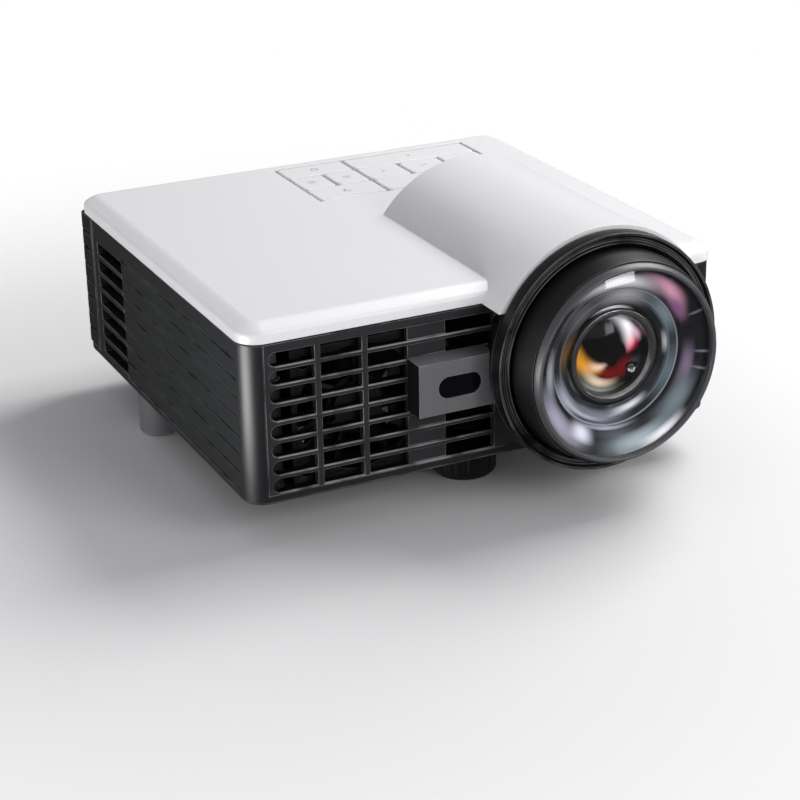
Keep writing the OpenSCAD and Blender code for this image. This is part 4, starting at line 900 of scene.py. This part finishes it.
coatingsAndPaintedLight = {
    # base colour, roughness, then patches: direction and reach in degrees, inner and outer
    # radius mm, colour, strength and, where it leans, its slant in degrees for each mm. The amber
    # and lilac tints stand for the lens coatings; the white, pink and pale crescents, thin bright
    # rings and radial lines are painted reflections and highlights, and the dark patches are
    # painted shade.
    "outerLand": ((0.009, 0.0095, 0.012), 0.12, [
       
        (50, 26, 15.6, 19.8, (0.92, 0.44, 0.62), 1.0, 6),
        (34, 16, 15.0, 17.8, (0.30, 0.14, 0.30), 0.9),
        (90, 40, 15.0, 19.4, (1.0, 0.96, 0.99), 1.0, 6),
        (134, 30, 15.2, 18.0, (0.12, 0.115, 0.115), 0.9),
        (180, 24, 15.2, 18.4, (0.38, 0.39, 0.41), 0.9),
        (214, 38, 16.0, 21.2, (0.38, 0.37, 0.45), 1.0),
        (237, 14, 15.2, 19.2, (0.82, 0.82, 0.92), 1.0),
        (268, 26, 15.6, 17.4, (0.09, 0.10, 0.125), 0.9),
        (284, 38, 16.8, 21.0, (0.36, 0.43, 0.46), 1.0),
        (300, 22, 18.8, 21.2, (1.0, 0.98, 1.0), 1.0),
        (322, 32, 15.4, 19.8, (0.20, 0.25, 0.27), 0.95),
        (348, 22, 15.4, 18.0, (0.28, 0.20, 0.31), 0.9),
        (260, 34, 14.9, 15.9, (0.46, 0.47, 0.54), 0.9),
        (25, 1.5, 17.2, 21.6, (0.36, 0.37, 0.39), 0.7),
        (357, 1.4, 17.4, 21.6, (0.36, 0.37, 0.39), 0.7),
        (346, 1.4, 17.2, 21.6, (0.32, 0.33, 0.35), 0.7),
    ]),
    "middleLand": ((0.014, 0.0155, 0.019), 0.14, [
       
        (34, 30, 12.2, 15.8, (0.19, 0.24, 0.27), 0.95),
        (82, 36, 11.2, 15.8, (0.36, 0.35, 0.36), 1.0),
        (128, 34, 11.0, 15.8, (0.11, 0.10, 0.10), 0.9),
        (168, 26, 10.6, 13.8, (0.14, 0.075, 0.025), 0.9),
        (212, 30, 12.2, 15.8, (0.38, 0.38, 0.45), 0.95),
        (256, 38, 11.6, 15.2, (0.20, 0.205, 0.25), 0.95),
        (288, 26, 11.6, 13.1, (0.80, 0.80, 0.86), 0.95),
        (234, 38, 13.3, 14.4, (0.54, 0.54, 0.62), 0.8),
        (338, 38, 12.2, 15.8, (0.12, 0.165, 0.18), 0.95),
        (6, 16, 11.6, 13.0, (0.50, 0.51, 0.52), 0.9),
        (0, 9999, 14.7, 15.4, (0.42, 0.43, 0.47), 0.75),
        (0, 9999, 12.9, 13.4, (0.22, 0.23, 0.26), 0.45),
    ]),
    "deepCone": ((0.008, 0.0085, 0.011), 0.16, [
       
        (88, 34, 8.6, 11.8, (0.95, 0.93, 0.95), 1.0, 9),
        (162, 28, 8.4, 11.8, (0.36, 0.18, 0.035), 0.95, -6),
        (206, 26, 8.6, 11.6, (0.36, 0.37, 0.38), 0.95),
        (250, 44, 8.4, 10.6, (0.40, 0.41, 0.40), 0.9),
        (318, 24, 8.4, 11.8, (0.38, 0.33, 0.36), 0.9),
        (28, 18, 8.4, 10.8, (0.80, 0.46, 0.54), 0.85),
    ]),
    "amberGlass": ((0.0012, 0.0007, 0.0009), 0.05, [
       
        (262, 62, 2.2, 6.4, (0.18, 0.006, 0.004), 1.0),
        (314, 48, 1.6, 7.2, (0.15, 0.004, 0.006), 1.0),
        (172, 24, 5.8, 10.0, (0.40, 0.14, 0.010), 0.9, -6),
        (196, 36, 3.0, 9.6, (1.0, 0.42, 0.035), 1.0, -8.5),
        (214, 24, 2.0, 5.8, (1.0, 0.74, 0.56), 1.0, -8),
        (242, 54, 5.2, 7.9, (1.0, 0.82, 0.58), 1.0),
        (250, 56, 7.4, 9.9, (0.48, 0.50, 0.45), 0.95),
        (330, 24, 5.8, 9.8, (0.04, 0.055, 0.06), 0.95),
        (24, 30, 3.2, 7.6, (0.88, 0.012, 0.12), 1.0, 4),
        (28, 20, 6.4, 10.4, (1.0, 0.62, 0.72), 1.0),
        (54, 38, 3.2, 10.8, (1.0, 0.97, 0.98), 1.0, 8),
        (88, 26, 7.4, 10.6, (0.95, 0.93, 0.95), 1.0, 9),
    ]),
}


def makeCoatingAndPaintedLight(name):
    base, rough, patches = coatingsAndPaintedLight[name]
    made, tree, shader, out = newMaterial(
        name, Coat_Weight=0.08, Coat_Roughness=0.12, Specular_IOR_Level=0.12)
    colour = (*base, 1)
    # each patch mixes in its colour round the lens axis: coating tints, and painted reflections,
    # highlights and shade
    for direction, reach, inner, outer, tone, strength, *slant in patches:
        patch = placeGroup(
            tree, aroundLens, Direction=float(direction), Reach=float(reach),
            Inner_Radius=inner, Outer_Radius=outer, Slant=float(slant[0]) if slant else 0.0,
        )
        fac = times(tree, patch["Mask"], strength, clamp=True)
        colour = mixColour(tree, fac, colour, (*tone, 1))
    feed(tree, colour, shader.inputs["Base Color"])
    uneven = noiseNode(tree, objectPlace(tree), 60.0, 3.0)
    feed(tree, ranged(tree, uneven, 0.4, 0.8, rough, rough + 0.06), shader.inputs["Roughness"])
    return made


for name in coatingsAndPaintedLight:
    finish[name] = makeCoatingAndPaintedLight(name)


def bow(inner, outer, low, high, rise, steps=8):
    # points of a softly bowed ring face from the outer edge to the inner one
    points = []
    for i in range(steps + 1):
        t = i / steps
        swell = rise * 4 * t * (1 - t)
        points.append((outer + (inner - outer) * t, low + (high - low) * t + swell))
    return points


def lensPiece(name, profile, material, hides=(), weighted=True):
    sheet = turnedSheet(lensAxis, profile, 192)
    finishPiece(name, sheet, [material], "lens_group", hides, weighted)


baffleBack = [(9.02, 7.0), (21.05, 7.0), (21.05, 17.0)]
outerFace = bow(15.25, 20.9, 17.1, 13.9, 0.5, 12)
middleFace = bow(11.05, 15.2, 13.3, 12.1, 0.35, 10)
deepFace = bow(9.1, 11.0, 11.6, 10.7, 0.25)
lensPiece("lensLand", baffleBack + outerFace + [(15.25, 13.4), (15.22, 8.0), (9.02, 8.0)],
          "outerLand", ("lens_baffle",))
lensPiece("lensStep", [(15.2, 8.2), (15.2, 13.2)] + middleFace + [(11.05, 8.2)],
          "middleLand")
lensPiece("lensCone", [(11.0, 8.2), (11.0, 11.5)] + deepFace + [(9.1, 8.2)],
          "deepCone")


def dome(radius, apex, sphere, back, steps=24):
    points = [(0.0, back), (radius, back)]
    for i in range(steps + 1):
        r = radius * (1 - i / steps)
        points.append((r, apex - sphere + math.sqrt(sphere * sphere - r * r)))
    return points


innerGlass = {"radius": 8.93, "sphere": 22.0, "edge": 8.95, "seat": 10.2, "back": 7.9}
sphere = innerGlass["sphere"]
innerApex = innerGlass["seat"] + sphere - math.sqrt(sphere ** 2 - innerGlass["edge"] ** 2)
lensPiece("innerGlassTintAndHighlights", dome(innerGlass["radius"], innerApex, sphere, innerGlass["back"]),
          "amberGlass", ("inner_glass",), weighted=False)

print("stage: marks")
marks = {
    # strokes as the reader behind the projector sees them, in mm: bar, arc or wedge
    "power_key": [("arc", 0, 0, 0.72, 0.95, -230, 50), ("bar", 0, 0.25, 0, 1.1, 0.22)],
    "source_key": [
        ("bar", -0.2, 0.75, 1.0, 0.75, 0.2),
        ("bar", 1.0, 0.75, 1.0, -0.75, 0.2),
        ("bar", 1.0, -0.75, -0.2, -0.75, 0.2),
        ("bar", -1.1, 0, 0.0, 0, 0.2),
        ("wedge", 0.5, 0, 0.0, 0.42, 0.0, -0.42),
    ],
    "menu_key": [("bar", -0.9, level, 0.9, level, 0.2) for level in (0.6, 0, -0.6)],
    "back_key": [
        ("arc", 0.1, 0, 0.55, 0.77, -120, 90),
        ("bar", 0.1, 0.66, -0.5, 0.66, 0.22),
        ("wedge", -1.0, 0.66, -0.45, 1.1, -0.45, 0.22),
    ],
    "up_key": [("wedge", 0, 0.62, -0.62, -0.42, 0.62, -0.42)],
    "down_key": [("wedge", 0, -0.62, -0.62, 0.42, 0.62, 0.42)],
    "left_key": [("wedge", -0.62, 0, 0.42, 0.62, 0.42, -0.62)],
    "right_key": [("wedge", 0.62, 0, -0.42, 0.62, -0.42, -0.62)],
    "enter_key": [
        ("bar", 0.75, 0.7, 0.75, -0.2, 0.2),
        ("bar", 0.75, -0.2, -0.4, -0.2, 0.2),
        ("wedge", -0.95, -0.2, -0.35, 0.25, -0.35, -0.65),
    ],
}
markHeights = {"top": 0.03, "base": -0.02}  # mm over the key's face


def strokePoints(stroke):
    kind, *n = stroke
    if kind == "wedge":
        return [[(n[0], n[1]), (n[2], n[3]), (n[4], n[5])]]
    if kind == "bar":
        along = Vector((n[2] - n[0], n[3] - n[1])).normalized() * n[4] / 2
        side = Vector((-along.y, along.x))
        start, end = Vector(n[:2]) - along, Vector(n[2:4]) + along
        return [[tuple(start - side), tuple(end - side), tuple(end + side), tuple(start + side)]]
    pieces = []
    steps = 20
    for i in range(steps):
        a, b = (math.radians(n[4] + (n[5] - n[4]) * k / steps) for k in (i, i + 1))
        corners = ((n[2], a), (n[3], a), (n[3], b), (n[2], b))
        pieces.append([(n[0] + r * math.cos(t), n[1] + r * math.sin(t)) for r, t in corners])
    return pieces


for node, strokes in marks.items():
    low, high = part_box(node)
    middle = ((low[0] + high[0]) / 2, (low[1] + high[1]) / 2)
    sheet = newSheet()
    for stroke in strokes:
        for outline in strokePoints(stroke):
            top, base = [], []
            for u, v in outline:
                for ring, height in ((top, markHeights["top"]), (base, markHeights["base"])):
                    ring.append(sheet.verts.new(
                        (middle[0] - u * mm, middle[1] - v * mm, high[2] + height * mm)))
            sheet.faces.new(top)
            sheet.faces.new(list(reversed(base)))
            for i in range(len(top)):
                j = (i + 1) % len(top)
                sheet.faces.new((top[i], base[i], base[j], top[j]))
    closeUp(sheet)
    finishPiece(node + "_mark", sheet, ["markGrey"], bodyOf[node], weighted=False)

# soft web that closes the gaps between the keys, in mm
keyWeb = {"gap": 0.6, "tuck": 0.02, "clear": 0.05, "below": 0.45, "thick": 0.35}


def buildKeyWeb():
    keyBoxes = [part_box(key) for key in marks]
    boxes = [[corner / mm for corner in (*low[:2], *high[:2])] for low, high in keyBoxes]
    rim = keyWeb["gap"] - keyWeb["tuck"]
    left, near = min(box[0] for box in boxes) - rim, min(box[1] for box in boxes) - rim
    right, far = max(box[2] for box in boxes) + rim, max(box[3] for box in boxes) + rim
    clear = keyWeb["clear"]
    boxes = [(x0 - clear, y0 - clear, x1 + clear, y1 + clear) for x0, y0, x1, y1 in boxes]
    across = sorted({left, right, *(box[0] for box in boxes), *(box[2] for box in boxes)})
    along = sorted({near, far, *(box[1] for box in boxes), *(box[3] for box in boxes)})
    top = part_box("enter_key")[1][2] / mm - keyWeb["below"]
    sheet = newSheet()
    for x0, x1 in zip(across, across[1:]):
        for y0, y1 in zip(along, along[1:]):
            x, y = (x0 + x1) / 2, (y0 + y1) / 2
            if any(box[0] < x < box[2] and box[1] < y < box[3] for box in boxes):
                continue
            corners = ((x0, y0), (x1, y0), (x1, y1), (x0, y1))
            sheet.faces.new([sheet.verts.new(Vector((px, py, top)) * mm) for px, py in corners])
    bmesh.ops.remove_doubles(sheet, verts=sheet.verts, dist=meshing["weld"])
    grown = bmesh.ops.extrude_face_region(sheet, geom=list(sheet.faces))
    for item in grown["geom"]:
        if isinstance(item, bmesh.types.BMVert):
            item.co.z -= keyWeb["thick"] * mm
    bmesh.ops.recalc_face_normals(sheet, faces=sheet.faces)
    finishPiece("key_web", sheet, ["webGrey"], bodyOf["top_cover"])


buildKeyWeb()

print("stage: sockets")
tongues = {
    # sideways and up from the socket's middle, width, thickness, length, contacts, all mm
    "video_socket": (0, 0.5, 11.4, 1.1, 8.6, 9),
    "data_socket": (0, 1.5, 11.0, 1.9, 8.8, 4),
    "wide_socket": (0, 0.0, 17.4, 1.3, 8.6, 14),
}
contact = {"rootBack": 1.9, "start": 0.5, "stop": 0.7, "half": 0.06, "share": 0.3, "edge": 0.2}


def addBlock(sheet, low, high, index):
    made = bmesh.ops.create_cube(sheet, size=1)
    for vert in made["verts"]:
        vert.co = Vector([(low[i] if vert.co[i] < 0 else high[i]) * mm for i in range(3)])
    for face in {face for vert in made["verts"] for face in vert.link_faces}:
        face.material_index = index


def buildTongue(node):
    across, lift, width, thick, length, contacts = tongues[node]
    low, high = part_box(node)
    middleX = (low[0] + high[0]) / 2 / mm + across
    middleZ = (low[2] + high[2]) / 2 / mm + lift
    backY = low[1] / mm + contact["rootBack"]
    sheet = newSheet()
    addBlock(
        sheet, (middleX - width / 2, backY, middleZ - thick / 2),
        (middleX + width / 2, backY + length, middleZ + thick / 2), 0)
    bevelEdges(sheet, contact["edge"] * mm)
    pitch = width / (contacts + 0.6)
    reach, half = pitch * contact["share"], contact["half"]
    for i in range(contacts):
        x = middleX + (i - (contacts - 1) / 2) * pitch
        for side in (-1, 1):
            z = middleZ + side * thick / 2
            addBlock(
                sheet, (x - reach, backY + contact["start"], z - half),
                (x + reach, backY + length - contact["stop"], z + half), 1)
    materials = ["socketBlack", "goldContact"]
    finishPiece(node + "_tongue", sheet, materials, bodyOf[node])


for node in tongues:
    buildTongue(node)

jackParts = {
    # the jack it sits in, its finish, then radius and distance in front of the jack's back face, mm
    "power_pin": ("power_jack", "steel", [
        (0, 1.6), (0.45, 1.65), (0.8, 1.9), (0.85, 2.4), (0.85, 10.9), (0, 10.9)]),
    "sound_ring": ("sound_jack", "goldContact", [
        (1.82, 0.6), (1.82, -0.06), (1.95, -0.14), (2.5, -0.14),
        (2.6, -0.05), (2.6, 0.6), (1.82, 0.6)]),
}
for name, (node, material, profile) in jackParts.items():
    low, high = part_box(node)
    centre = ((low[0] + high[0]) / 2, high[1], (low[2] + high[2]) / 2)
    finishPiece(name, turnedSheet(centre, profile, 40), [material], bodyOf[node])

print("stage: finish")
